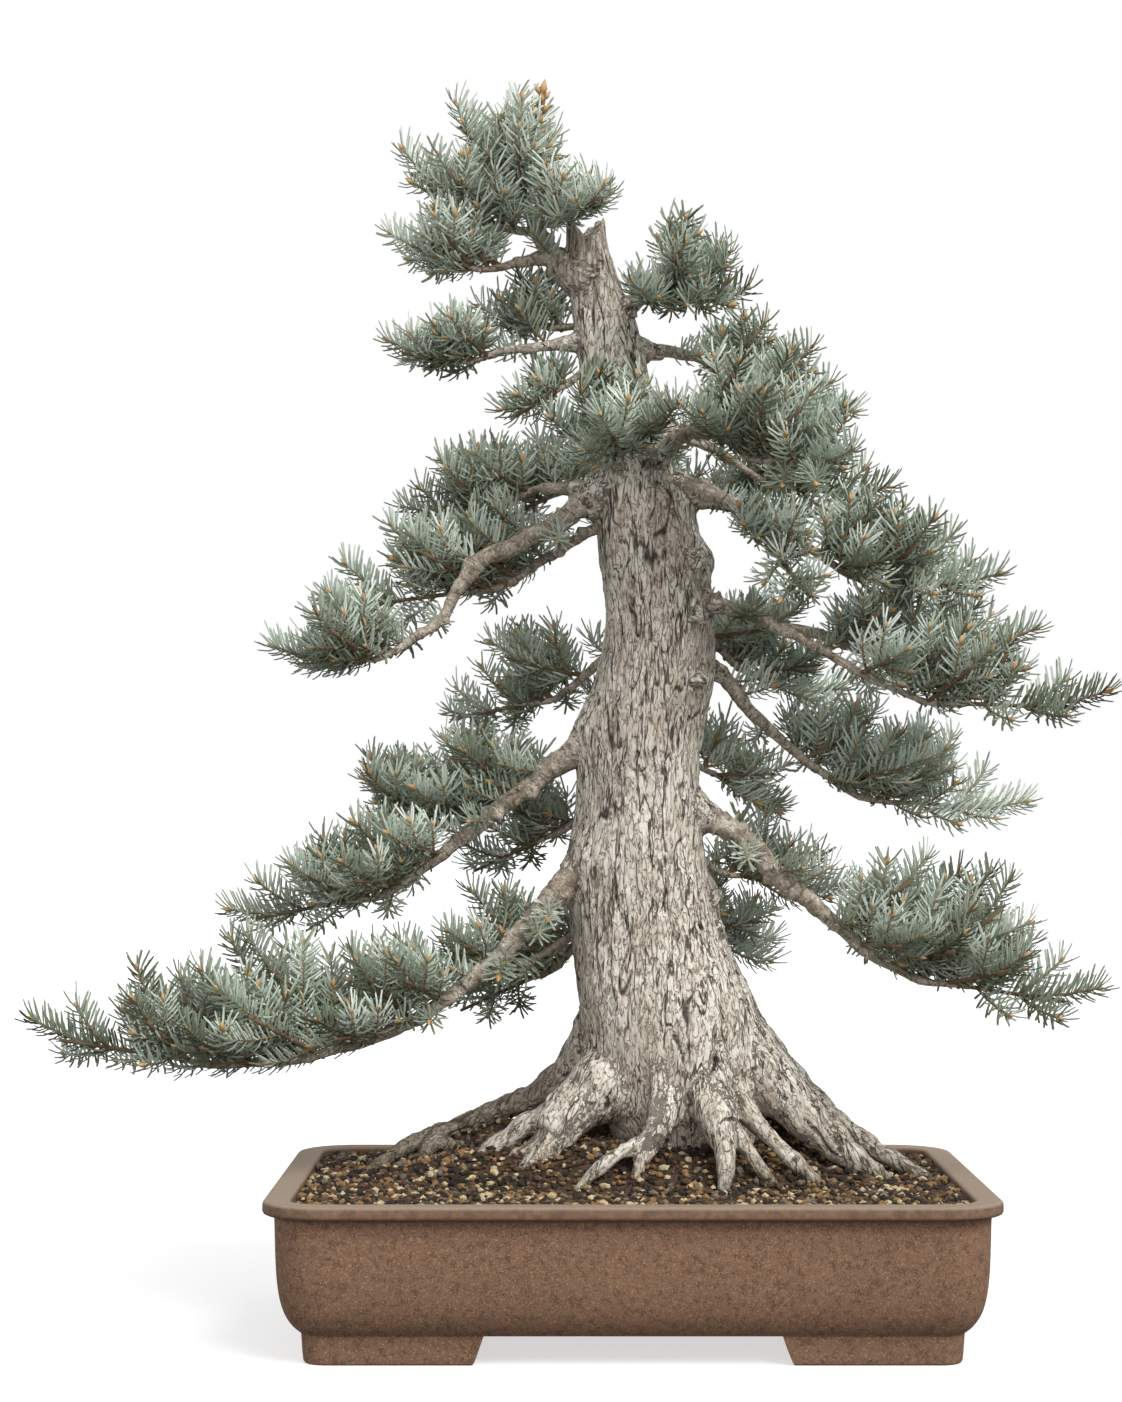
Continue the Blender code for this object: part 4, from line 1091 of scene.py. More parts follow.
def grow_mass(mass, limbs, space):
    """The sprays and bare twigs of one mass, placed as in the solids."""
    draw = random.Random(mass.name)
    path, _ = limbs[mass.name]
    sprays = []
    twigs = []

    def try_spray(root, along, length, roll):
        for turn, scale in SPRAY_TRIES:
            flat = flat_side(along, turn * roll)
            samples = spray_samples(root, along, flat, scale * length)
            if space.free(mass.name, samples, SPRAY_KEEP):
                space.add(mass.name, samples, SPRAY_KEEP)
                sprays.append(Spray(mass.name, root, along.normalized(), flat, scale * length))
                return True
        return False

    tip, along = place_on(path, 1.0)
    try_spray(tip - along * SPRAY_ROOT, along, spray_length(mass), SPRAY_ROLL + draw.uniform(-15, 15))
    for index, (root, direction, length) in enumerate(side_twigs(mass, path, draw)):
        roll = (SPRAY_ROLL if index % 2 else -SPRAY_ROLL) + draw.uniform(-22, 22)
        size = spray_length(mass) * draw.uniform(0.9, 1.06)
        bare = length - size + SPRAY_ROOT
        end_direction = (direction + UP * TIP_LIFT).normalized()
        if bare < 2 * SPRAY_ROOT:
            short = max(SPRAY_LEAST * size, min(size, length))
            try_spray(root - end_direction * SPRAY_SINK, end_direction, short, roll)
            continue
        end = root + direction * bare * 0.5 + end_direction * bare * 0.5
        if not space.free(mass.name, fine_points([root, end], BALL_STEP)[1:], SPRAY_KEEP):
            continue
        if try_spray(end - end_direction * SPRAY_ROOT, end_direction, size, roll):
            twigs.append((root, end))
    return sprays, twigs


@functools.lru_cache(maxsize=1)
def grow_tree():
    """All limbs, sprays and bare twigs of the tree."""
    limbs = {}
    for bough in BOUGHS:
        path = bough_path(bough, limbs)
        limbs[bough.name] = (path, bough_radii(bough, path))
    space = Space()
    for height in np.arange(SOIL_LEVEL, TRUNK[-1][0] * MM, TRUNK_BALL_STEP):
        middle, radius = trunk_at(height)
        space.add("trunk", [middle], radius + TRUNK_MARGIN)
    for root in ROOTS:
        path, radii = root_line(root)
        space.add("trunk", path, np.array(radii) + ROOT_MARGIN)
    for name, (path, radii) in list(limbs.items()):
        balls = fine_points(path, BALL_STEP)
        along = np.linspace(0, len(radii) - 1, len(balls))
        space.add(name, balls, np.interp(along, range(len(radii)), radii) + LIMB_MARGIN)
    for mass in MASSES:
        path = stem_path(mass, limbs)
        radii = stem_radii(mass, limbs, path)
        limbs[mass.name] = (path, radii)
        space.add(mass.name, fine_points(path, BALL_STEP), radii[0] + LIMB_MARGIN)
    sprays = []
    twigs = []
    for mass in sorted(MASSES, key=lambda mass: mass.reach):
        more_sprays, more_twigs = grow_mass(mass, limbs, space)
        sprays += more_sprays
        twigs += more_twigs
    return limbs, sprays, twigs


# Trunk and roots

SHELL_SIDES = 80
SHELL_STEP = 5 * MM
ROOT_SKIN_SIDES = 20
ROOT_SKIN_STEP = 3.5 * MM
ROOT_LEAD = 60 * MM
FLARE_TOP = 260 * MM
FLARE_PASSES = 45
BURIED = 8 * MM
SKIN_CUT = 285 * MM
# Heights between which the bark gives way to the dead wood of the broken top
DEAD_FROM = (0.985, 1.02)
DEAD_RELIEF = 3.4 * MM
DEAD_STREAK = np.array((3.4, 3.4, 40)) * MM
# Sizes of the bark's patterns
FISSURE_SIZE = np.array((13, 13, 30)) * MM
FISSURE_SWING = 17 * MM
UNBROKEN_SIZE = 12 * MM
BROAD_SIZE = 24 * MM
RIDGE_SIZE = 7 * MM
RIDGE_CURL = 5 * MM
FLAKE_SIZE = 2.9 * MM
KNOT_RING = 2.4 * MM
KNOT_DEPTH = 7 * MM
BURL_HEIGHT = 4.5 * MM
BURL_LUMPS = (5 * MM, 2.4 * MM)
# Seeds of the bark's grain on the collars and on the stubs
COLLAR_SEED = 31
STUB_SEED = 60
STUB_RINGS = 6
STUB_SIDES = 12
GRAIN_STRETCH = 0.42
GRAIN_SHIFT = 0.23
# Roots that lie in shade and are painted darker brown, a painted shade, and where along them the painted
# shade begins and is full
SHADED_ROOTS = ("left_long", "knob")
ROOT_SHADE_FROM = (10 * MM, -30 * MM)
# A root strays from its line, and its thickness changes along it
ROOT_STRAY = 0.18
ROOT_STRAY_SIZE = 16 * MM
ROOT_WOBBLE = 0.16
ROOT_WOBBLE_SIZE = 12 * MM
COLLAR_STEP = 4 * MM
COLLAR_REACH = 26 * MM
COLLAR_FADE = 9 * MM

# Broken stubs and knobs: start, end, and radius at both ends, in millimetres
STUBS = (
    ((46, -35, 806), (48, -60, 817), 13, 8),
    ((122, -20, 716), (136, -26, 722), 12, 6),
    ((124, -26, 666), (136, -31, 660), 9, 5),
    ((126, -18, 606), (138, -22, 600), 9, 5),
    ((142, 8, 396), (152, 6, 404), 8, 5),
    ((146, 6, 372), (153, 4, 366), 7, 4),
)
# Knot holes: height, heading round the trunk, and radius
KNOTS = (
    (664, -150, 5),
    (836, -104, 4),
)


def resampled(path, radii, step):
    """A path and its radii at an even fine step, as arrays."""
    points = np.array(path)
    run = np.concatenate([[0], np.cumsum(np.linalg.norm(np.diff(points, axis=0), axis=1))])
    count = max(4, round(run[-1] / step))
    where = np.linspace(0, run[-1], count + 1)
    line = smooth_line(points, run, where)
    return line, np.interp(where, run, radii), where


def smooth_line(points, run, where):
    """A curve through the points, read at lengths along it."""
    rows = with_ends(points)
    spans = np.clip(np.searchsorted(run, where, side="right") - 1, 0, len(run) - 2)
    out = []
    for span, length in zip(spans, where):
        share = (length - run[span]) / (run[span + 1] - run[span])
        out.append(catmull(rows[span], rows[span + 1], rows[span + 2], rows[span + 3], share))
    return np.array(out)


def trunk_rings():
    """Rings of points up the trunk to its jagged broken top, and the middle of the last."""
    low = SOIL_LEVEL - BURIED
    high = TRUNK[-1][0] * MM
    heights = np.linspace(low, high, round((high - low) / SHELL_STEP))
    turns = even_turns(SHELL_SIDES)
    line = np.array([trunk_at(height)[0] for height in heights])
    radii = np.array([[trunk_radius(height, turn) for turn in turns] for height in heights])
    spokes = np.stack([np.cos(turns), np.sin(turns), np.zeros(len(turns))], axis=1)
    rings = line[:, None, :] + radii[..., None] * spokes[None]
    peaks = np.maximum(np.cos(turns - 0.5), 0) ** 1.5 + 0.8 * np.maximum(np.cos(turns - 3.4), 0) ** 3
    notch = bell(turn_apart(turns, SNAG_NOTCH) / 0.5)
    jags = peaks + 0.10 * np.sin(7 * turns) * np.sin(3 * turns + 1) - 0.1 - 0.9 * notch
    rings[-1, :, 2] += SNAG_SPIKE * jags
    return rings, line[-1]


def grain_space(points, along, origin, seed):
    """Points squeezed along a limb, so that its bark grain runs lengthways."""
    away = points - origin
    along = np.asarray(along)
    return away - np.outer(away @ along * (1 - GRAIN_STRETCH), along) + GRAIN_SHIFT * seed


def led_in(path, radii):
    """A root's line carried on up into the trunk, where it fades into a low flute."""
    height = path[0].z + ROOT_LEAD
    middle, radius = trunk_at(height)
    outward = path[0] - middle
    outward.z = 0
    start = middle + outward.normalized() * (radius - 0.45 * radii[0])
    return [start, *path], [0.4 * radii[0], *radii]


class Skin:
    """A shape fused from closed tubes, with the grain and the painted shade of the shaded roots at known
    points.
    """

    def __init__(self):
        self.shape = bmesh.new()
        self.known = []
        self.grains = []
        self.root_shades = []

    def note(self, points, along, origin, seed, brown=False):
        self.known.append(points)
        self.grains.append(grain_space(points, along, origin, seed))
        self.root_shades.append(brown * eased(points[:, 0], *ROOT_SHADE_FROM))

    def add_tube(self, line, radii, sides, along, seed, brown=False):
        points, faces = tubes(line[None], radii[None], sides)
        made = [self.shape.verts.new(point) for point in points]
        for face in faces:
            self.shape.faces.new([made[index] for index in face])
        self.note(points, along, line[0], seed, brown)

    def add_trunk(self):
        points, middle = trunk_rings()
        rings = [[self.shape.verts.new(point) for point in ring] for ring in points]
        for lower, upper in zip(rings, rings[1:]):
            edges = []
            for ring in (lower, upper):
                for pair in zip(ring, ring[1:] + ring[:1]):
                    edges.append(self.shape.edges.get(pair) or self.shape.edges.new(pair))
            bmesh.ops.bridge_loops(self.shape, edges=edges)
        self.shape.faces.new(rings[0][::-1])
        hollow = self.shape.verts.new(middle - np.array((0, 0, 0.55 * SNAG_SPIKE)))
        for start, end in zip(rings[-1], rings[-1][1:] + rings[-1][:1]):
            self.shape.faces.new((start, end, hollow))
        self.note(points.reshape(-1, 3), (0, 0, 1), np.zeros(3), 0)

    def add_roots(self):
        for number, root in enumerate(ROOTS):
            line, radius, _ = resampled(*led_in(*root_line(root)), ROOT_SKIN_STEP)
            line = line + ROOT_STRAY * radius[:, None] * wander(line / ROOT_STRAY_SIZE, number)
            wobble = 1 + ROOT_WOBBLE * wander(line / ROOT_WOBBLE_SIZE, number + 3)[:, 0]
            along = unit(line[-1] - line[0])
            self.add_tube(line, radius * wobble, ROOT_SKIN_SIDES, along, 1 + number, root in SHADED_ROOTS)

    def add_collars(self):
        limbs, _, _ = grow_tree()
        for bough in BOUGHS:
            if bough.carrier != "trunk":
                continue
            line, radius, run = resampled(*limbs[bough.name], COLLAR_STEP)
            reach = trunk_at(bough.at * MM)[1] + COLLAR_REACH
            keep = run < reach
            swell = 1.10 + 0.35 * np.exp(-np.maximum(0, run - reach + COLLAR_REACH) / COLLAR_FADE)
            seed = COLLAR_SEED + len(self.known)
            along = heading_vector(bough.heading)
            self.add_tube(line[keep], (radius * swell)[keep], ROOT_SKIN_SIDES, along, seed)

    def add_stubs(self):
        for number, (start, end, base, tip) in enumerate(STUBS):
            line = np.linspace(np.array(start) * MM, np.array(end) * MM, STUB_RINGS)
            radius = np.linspace(base, tip, STUB_RINGS) * MM
            self.add_tube(line, radius, STUB_SIDES, unit(line[-1] - line[0]), STUB_SEED + number)


def trunk_skin(settings):
    """Trunk, roots, collars and stubs in one fine skin, with what is known of their grain."""
    skin = Skin()
    skin.add_trunk()
    skin.add_roots()
    skin.add_collars()
    skin.add_stubs()
    bmesh.ops.recalc_face_normals(skin.shape, faces=skin.shape.faces)
    mesh = remeshed(mesh_of(skin.shape, "trunk_shell"), settings.voxel)
    ease_flare(mesh)
    return mesh, *[np.concatenate(rows) for rows in (skin.known, skin.grains, skin.root_shades)]


def remeshed(mesh, voxel):
    """The mesh's outer skin in even small faces, its creases eased."""
    helper = in_scene("helper", mesh)
    remesh = helper.modifiers.new("Skin", "REMESH")
    remesh.mode = "VOXEL"
    remesh.voxel_size = voxel
    ease = helper.modifiers.new("Ease", "SMOOTH")
    ease.factor = 0.5
    ease.iterations = 5
    graph = bpy.context.evaluated_depsgraph_get()
    made = bpy.data.meshes.new_from_object(helper.evaluated_get(graph))
    bpy.data.objects.remove(helper)
    return made


def ease_flare(mesh):
    """Smooth the skin where the roots run up into the trunk, as webs of bark."""
    points = mesh_points(mesh)
    middle, radius = trunk_at(FLARE_TOP)
    away = np.linalg.norm(points[:, :2] - (middle.x, middle.y), axis=1)
    share = eased(away, 1.75 * radius, 1.2 * radius) * eased(points[:, 2], FLARE_TOP + 50 * MM, FLARE_TOP)
    share *= eased(points[:, 2], SOIL_LEVEL, SOIL_LEVEL + 20 * MM)
    edges = np.empty(len(mesh.edges) * 2, np.int32)
    mesh.edges.foreach_get("vertices", edges)
    first, second = edges.reshape(-1, 2).T
    size = len(points)
    count = np.bincount(edges, minlength=size)
    for _ in range(FLARE_PASSES):
        total = np.stack([
            np.bincount(first, column[second], size) + np.bincount(second, column[first], size)
            for column in points.T
        ], axis=1)
        points += 0.6 * share[:, None] * (total / count[:, None] - points)
    mesh.vertices.foreach_set("co", points.astype(np.float32).ravel())
    mesh.update()


def mesh_points(mesh, what="co"):
    values = np.empty(len(mesh.vertices) * 3, np.float32)
    mesh.vertices.foreach_get(what, values)
    return values.reshape(-1, 3).astype(float)


def carried_grain(points, known, grains, root_shades):
    """Each point's place in the grain of the nearest limb, and how much painted shade it takes."""
    tree = KDTree(len(known))
    for index, point in enumerate(known):
        tree.insert(point, index)
    tree.balance()
    nearest = np.array([tree.find(point)[1] for point in points])
    return grains[nearest] + (points - known[nearest]) * np.array((1, 1, GRAIN_STRETCH)), root_shades[nearest]


def bark_relief(grain, settings):
    """Height of the bark, a signed value that is 0 along each fissure, and a tone."""
    swung = grain / FISSURE_SIZE + 0.5 * wander(grain / FISSURE_SWING, 2)
    broken = eased(cloud_noise(grain / UNBROKEN_SIZE, 14), 0.42, 0.55)
    split = cloud_noise(swung, 7) - 0.5
    split = np.where(split < 0, -1, 1) * (np.abs(split) + 0.06 * (1 - broken))
    open_share = eased(np.abs(split), 0.0, 0.06)
    broad = cloud_noise(grain / BROAD_SIZE, 5) - 0.5
    ridges = cloud_noise(grain / RIDGE_SIZE + 0.3 * wander(grain / RIDGE_CURL, 4), 6) - 0.5
    flakes = cloud_noise(grain / FLAKE_SIZE, 8) - 0.5
    height = settings.crack_depth * (open_share - 1) + settings.ridge * (ridges + broad)
    height += settings.flake * flakes
    return height, split, broad + 0.5


def carve_knots(points, height, split):
    """Sink the knot holes into the bark, each in a raised ring."""
    for level, heading, radius in KNOTS:
        middle, _ = trunk_at(level * MM)
        spot = middle + heading_vector(heading) * trunk_radius(level * MM, math.radians(heading))
        away = np.linalg.norm(points - np.array(spot), axis=1) / (radius * MM)
        height = height + KNOT_RING * bell((away - 1.5) / 0.45) - KNOT_DEPTH * bell(away**2)
        split = np.where(away < 1.05, 0, split)
    return height, split


def burl_relief(points):
    """Rough lumps round the broken stubs."""
    height = np.zeros(len(points))
    for start, end, base, _ in STUBS:
        spot = (np.array(start) + end) / 2 * MM
        near = bell(np.linalg.norm(points - spot, axis=1) / (1.5 * base * MM))
        height = np.maximum(height, near)
    broad, fine = BURL_LUMPS
    lumps = cloud_noise(points / broad, 21) + 0.7 * cloud_noise(points / fine, 22) - 0.85
    return BURL_HEIGHT * height * lumps


def set_reading(mesh, name, values):
    """Keep a number or a vector at each point for the finish to read."""
    kind, key = ("FLOAT", "value") if values.ndim == 1 else ("FLOAT_VECTOR", "vector")
    attribute = mesh.attributes.new(name, kind, "POINT")
    attribute.data.foreach_set(key, np.ascontiguousarray(values, np.float32).ravel())


def cut_skin(mesh, name, upper):
    """The part of the skin above or below the cut, closed by a flat face inside the trunk."""
    shape = bmesh.new()
    shape.from_mesh(mesh)
    bmesh.ops.bisect_plane(
        shape, geom=[*shape.verts, *shape.edges, *shape.faces], plane_co=(0, 0, SKIN_CUT),
        plane_no=(0, 0, 1), clear_inner=upper, clear_outer=not upper,
    )
    rim = [edge for edge in shape.edges if edge.is_boundary]
    bmesh.ops.holes_fill(shape, edges=rim)
    for face in shape.faces:
        face.smooth = True
    for edge in rim:
        edge.smooth = False
    return mesh_of(shape, name)


def make_trunk(settings):
    """The trunk, its roots and the collars of its boughs in a skin of bark, in two pieces."""
    mesh, *known = trunk_skin(settings)
    points = mesh_points(mesh)
    normals = mesh_points(mesh, "normal")
    grain, brown = carried_grain(points, *known)
    height, split, tone = bark_relief(grain, settings)
    dead = eased(points[:, 2], *DEAD_FROM)
    streak = cloud_noise(points / DEAD_STREAK, 47) - 0.5
    height = height * (1 - dead) + dead * streak * DEAD_RELIEF
    height, split = carve_knots(points, height, split)
    height += burl_relief(points)
    moved = points + normals * height[:, None]
    moved[:, 2] = np.maximum(moved[:, 2], SOIL_LEVEL - BURIED)
    mesh.vertices.foreach_set("co", moved.astype(np.float32).ravel())
    mesh.update()
    # One reading carries the painted shade of the roots that lie in shade
    readings = {"grain": grain, "split": np.abs(split) + dead, "tone": tone, "brown": brown}
    for name, values in readings.items():
        set_reading(mesh, name, values)
    mesh.materials.clear()
    finish = bark_finish(settings)
    for name, upper in (("roots_bark", False), ("trunk_bark", True)):
        as_piece(cut_skin(mesh, name, upper), ["trunk"], [finish])
    bpy.data.meshes.remove(mesh)


# Boughs

LIMB_SIDES = 16
LIMB_STEP = 2.4 * MM
STEM_SKIN_SIDES = 9
STEM_SKIN_STEP = 2.8 * MM
WRINKLE = 5.5 * MM
# A limb sways by a share of its thickness, and knobs stand along it
SWAY = 0.9
SWAY_SIZE = 26 * MM
SWAY_FADE = 20 * MM
KNOB_SPACING = 17 * MM
KNOB_LENGTH = 3.6 * MM
KNOB_TURN = 0.5
KNOB_SWELL = (0.25, 0.8)


def limb_skin(name, path, radii, sides, step, seed):
    """Points, triangles and crack values of one limb with wrinkles and knobs."""
    line, radius, run = resampled(path, radii, step)
    draw = random.Random(name)
    sway = np.stack([cloud_noise(line / SWAY_SIZE + seed, axis) for axis in (1, 2, 3)], axis=1) - 0.5
    fade = np.minimum(1, np.minimum(run, run[-1] - run) / SWAY_FADE)[:, None]
    line = line + sway * fade * radius[:, None] * SWAY
    turns = even_turns(sides)
    around = np.stack([np.cos(turns), np.sin(turns)], axis=1)
    q = np.concatenate([
        np.broadcast_to(around[None] * 1.3, (len(line), sides, 2)),
        np.broadcast_to((run / WRINKLE)[:, None, None], (len(line), sides, 1)),
    ], axis=2).reshape(-1, 3) + 7.0 * seed
    rough = cloud_noise(q * np.array((1.6, 1.6, 0.9)), 2).reshape(len(line), sides)
    rings = cloud_noise(q * np.array((0.5, 0.5, 2.2)), 3).reshape(len(line), sides)
    share = 1 + 0.20 * (rough - 0.5) + 0.14 * (rings - 0.5)
    for _ in range(max(2, int(run[-1] / KNOB_SPACING))):
        at = draw.uniform(0.02, 0.98) * run[-1]
        turn = draw.uniform(0, 2 * math.pi)
        swell = draw.uniform(*KNOB_SWELL)
        near = np.outer(bell((run - at) / KNOB_LENGTH), bell(turn_apart(turns, turn) / KNOB_TURN))
        share = share + swell * near
    points, faces = tubes(line[None], (radius[:, None] * share)[None], sides)
    crack = eased(rough * 0.6 + rings * 0.4, 0.30, 0.55).ravel()
    spread = around[None] * radius[:, None, None]
    grain = np.concatenate([spread, np.broadcast_to(run[:, None, None], (*spread.shape[:2], 1))], axis=2)
    grain = np.concatenate([grain.reshape(-1, 3), ((0, 0, 0), (0, 0, run[-1]))]) + GRAIN_SHIFT * seed
    return points, faces, np.concatenate([crack, (1, 1)]), grain


def make_boughs():
    """All boughs and the stems of the masses as one mesh with the bark's relief."""
    limbs, _, _ = grow_tree()
    names = [bough.name for bough in BOUGHS]
    skins = []
    for seed, (name, (path, radii)) in enumerate(limbs.items()):
        sides, step = (LIMB_SIDES, LIMB_STEP) if name in names else (STEM_SKIN_SIDES, STEM_SKIN_STEP)
        skins.append(limb_skin(name, path, radii, sides, step, seed))
    points, faces, cracks, grains = zip(*skins)
    mesh = joined_mesh("boughs_bark", *combined(list(zip(points, faces))), smooth=True)
    set_reading(mesh, "crack", np.concatenate(cracks))
    set_reading(mesh, "grain", np.concatenate(grains))
    return as_piece(mesh, names, [bough_finish()])


# Shoots, needles and buds

SHOOT_RINGS = 4
SHOOT_CURVE = 0.26
BOW_START = 0.55
ROSETTE = 14 * MM
SHOOT_SIDES = 3
TWIG_SIDES = 6
TWIG_RINGS = 5
BUD_SIDES = 4
SPUR_STEP = 24 * MM
SPUR_LENGTHS = (22, 38)
SPUR_ROLL = 125
BOUGH_BARE = 0.45
STEM_BARE = 0.08
# A needle's cross-sections: how far along it, and how wide in shares of its width
NEEDLE_PROFILE = ((0.0, 0.6), (0.5, 1.0), (0.92, 0.86))
# How a needle bows up and forward, and how much its turn and its tilt stray, in degrees
SWEEP_UP = 0.30
SWEEP_ALONG = 0.16
TURN_STRAY = 7
TILT_STRAY = 5
# How far a needle leans out from its shoot: at its foot, less along it and less at its tip
TILT = 74
TILT_ALONG = 18
TILT_TIP = 24
FEWEST_NEEDLES = 8
# Shoots of a spray: where each leaves its axis, and how far it reaches along, out and up, in
# shares of the spray's length. Those with True grow on both sides.
SHOOT_PLAN = (
    (0.30, 0.66, 0.00, 0.05, False),
    (0.14, 0.25, 0.27, 0.04, True),
    (0.44, 0.30, 0.24, 0.06, True),
    (0.22, 0.15, 0.04, 0.24, False),
)
AXIS_WOOD = 0.8
# The outermost shoot of a spray is a tint deeper and fuller of needles
AXIS_TINT = 1
AXIS_FULLNESS = 1.35
FULL_SHOOT = 52 * MM
# The bare tip of the tree: its share of the topmost spray, thickness and buds
CROWN_SHARE = 0.86
CROWN_SWELL = 2.0
CROWN_BUD = 13 * MM
CROWN_BUDS = 11
# Thickness of a bud, and length and thickness of the small one beside it, in shares of length
BUD_PLUMP = 0.30
SIDE_BUD = 0.62
SIDE_BUD_PLUMP = 0.34

Shoots = namedtuple("Shoots", "start reach lift tint")


def tints_of(name):
    """The tints dealt to the shoots of a mass: painted paler where it stands in full light, and paler than in
    the open where it stands in shade.
    """
    if name in LIT:
        return LIT_TINTS
    return SHADED_TINTS if name in SHADED else OPEN_TINTS


def spray_shoots(sprays):
    """Starts, reaches, lifts and tints of all the shoots of all the sprays."""
    draw = random.Random("shoots")
    rows = []
    for spray in sprays:
        tints = tints_of(spray.mass)
        side = spray.flat.cross(spray.along).normalized()
        normal = spray.along.cross(side)
        if normal.z < 0:
            normal = -normal
        lift = (normal + UP).normalized()
        for at, ahead, out, up, paired in SHOOT_PLAN:
            for sign in ((-1, 1) if paired else (1,)):
                stretch = draw.uniform(0.86, 1.08)
                start = spray.root + spray.along * spray.length * (at + draw.uniform(-0.03, 0.03))
                reach = spray.along * ahead + side * (out * sign + draw.uniform(-0.04, 0.04))
                reach += normal * (up + draw.uniform(-0.03, 0.05))
                tint = draw.choice(tints) + (AXIS_TINT if out == 0 and tints is OPEN_TINTS else 0)
                rows.append((start, reach * spray.length * stretch, lift, tint))
    return rows


def spur_shoots(limbs):
    """Short shoots that stand along the outer part of each bough and each mass's stem."""
    draw = random.Random("spurs")
    rows = []
    carriers = [(mass.name, max(mass.bare, STEM_BARE)) for mass in MASSES]
    carriers += [(bough.name, BOUGH_BARE) for bough in BOUGHS]
    for name, bare in carriers:
        path, radii = limbs[name]
        length = path_length(path)
        tints = tints_of(name)
        for number in range(int(length * (1 - bare) / SPUR_STEP)):
            share = min(1.0, bare + (number + draw.random()) * SPUR_STEP / length)
            root, along = place_on(path, share)
            side, over = beside(along, 0.3)
            roll = math.radians(draw.uniform(-SPUR_ROLL, SPUR_ROLL))
            lateral = math.sin(roll) * side + math.cos(roll) * over
            reach = (along * draw.uniform(0.5, 1.0) + lateral).normalized()
            size = draw.uniform(*SPUR_LENGTHS) * MM + radii[0] * (1 - share)
            rows.append((root, reach * size, UP, draw.choice(tints)))
    return rows


def shoot_arrays(rows):
    """Rows of shoots as arrays."""
    *places, tints = zip(*rows)
    return Shoots(*[np.array(column) for column in places], np.array(tints))


def kept_inside(shoots):
    """Turn in the shoots whose tips would pass the front or the back of the solids' box."""
    low, high = CAD_BOX[0][1], CAD_BOX[1][1]
    tips = np.clip(shoots.start[:, 1] + shoots.reach[:, 1], low, high)
    shoots.reach[:, 1] = tips - shoots.start[:, 1]
    return shoots


def bow(share):
    """Rise of a shoot above a straight line, which first dips and then curves up."""
    return share**2 - BOW_START * share


def shoot_lines(shoots, rings):
    """Centre lines that curve gently up: (shoot, ring, 3)."""
    share = np.linspace(0, 1, rings)[None, :, None]
    length = np.linalg.norm(shoots.reach, axis=1)[:, None, None]
    rise = SHOOT_CURVE * length * bow(share)
    return shoots.start[:, None] + shoots.reach[:, None] * share + shoots.lift[:, None] * rise


def needle_mesh_arrays(shoots, settings):
    """Points of every needle (needle, 10, 3) and its tint, along and round each shoot, the tint with painted
    shade on the needles that face down.
    """
    chooser = np.random.default_rng(7)
    length = np.linalg.norm(shoots.reach, axis=1)
    weight = (length + ROSETTE) * np.where(length > FULL_SHOOT, AXIS_FULLNESS, 1.0)
    share_out = np.round(weight * settings.needle_count / weight.sum())
    counts = np.maximum(FEWEST_NEEDLES, share_out).astype(int)
    owner = np.repeat(np.arange(len(counts)), counts)
    order = np.arange(len(owner)) - np.repeat(np.cumsum(counts) - counts, counts)
    share = 0.02 + 0.98 * ((order + chooser.uniform(0, 1, len(owner))) / counts[owner]) ** 0.82
    reach = shoots.reach[owner]
    span = length[owner][:, None]
    lift = shoots.lift[owner]
    base = shoots.start[owner] + reach * share[:, None] + lift * SHOOT_CURVE * span * bow(share)[:, None]
    along = unit(reach + lift * SHOOT_CURVE * span * (2 * share - BOW_START)[:, None])
    up = unit(lift - along * np.sum(lift * along, axis=1, keepdims=True))
    side = np.cross(along, up)
    turn = np.radians((order * GOLDEN_TURN) % 360 - 180) * (0.80 + 0.18 * share)
    turn += np.radians(chooser.uniform(-TURN_STRAY, TURN_STRAY, len(owner)))
    tip = eased(share, 0.86, 1.0)
    stray = chooser.uniform(-TILT_STRAY, TILT_STRAY, len(owner))
    tilt = np.radians(TILT - TILT_ALONG * share - TILT_TIP * tip + stray)
    outward = np.cos(turn)[:, None] * up + np.sin(turn)[:, None] * side
    direction = unit(np.cos(tilt)[:, None] * along + np.sin(tilt)[:, None] * outward)
    sweep = SWEEP_UP * up + SWEEP_ALONG * along
    size = settings.needle_length * chooser.uniform(0.8, 1.06, len(owner)) * (0.88 + 0.12 * share)
    width = settings.needle_width * chooser.uniform(0.9, 1.1, len(owner))
    facing = up + 0.35 * along
    face = unit(facing - direction * np.sum(facing * direction, axis=1, keepdims=True))
    lateral = np.cross(face, direction)
    corners = []
    for run, wide in NEEDLE_PROFILE:
        middle = base + direction * (size * run)[:, None] + sweep * (size * run**2)[:, None]
        half = (width * wide / 2)[:, None]
        corners += [middle + lateral * half, middle - lateral * half, middle - face * half]
    corners.append(base + direction * size[:, None] + sweep * size[:, None])
    # Painted shade: needles that face down are dealt two tints deeper. Those near the shoot's foot are one
    # tint deeper.
    lower = (outward @ np.array(UP) < chooser.uniform(-0.5, 0.1, len(owner))).astype(int)
    inner = (share < chooser.uniform(0, 0.34, len(owner))).astype(int)
    tints = np.minimum(shoots.tint[owner] + 2 * lower + inner, len(NEEDLE_TINTS) - 1)
    return np.stack(corners, axis=1), tints


NEEDLE_SIDE = np.array(((0, 1, 4), (0, 4, 3), (1, 2, 5), (1, 5, 4), (2, 0, 3), (2, 3, 5)))
NEEDLE_FACES = np.concatenate([((0, 2, 1),), NEEDLE_SIDE, NEEDLE_SIDE + 3, ((6, 7, 9), (7, 8, 9), (8, 6, 9))])
NEEDLES_IN_PIECE = 12000


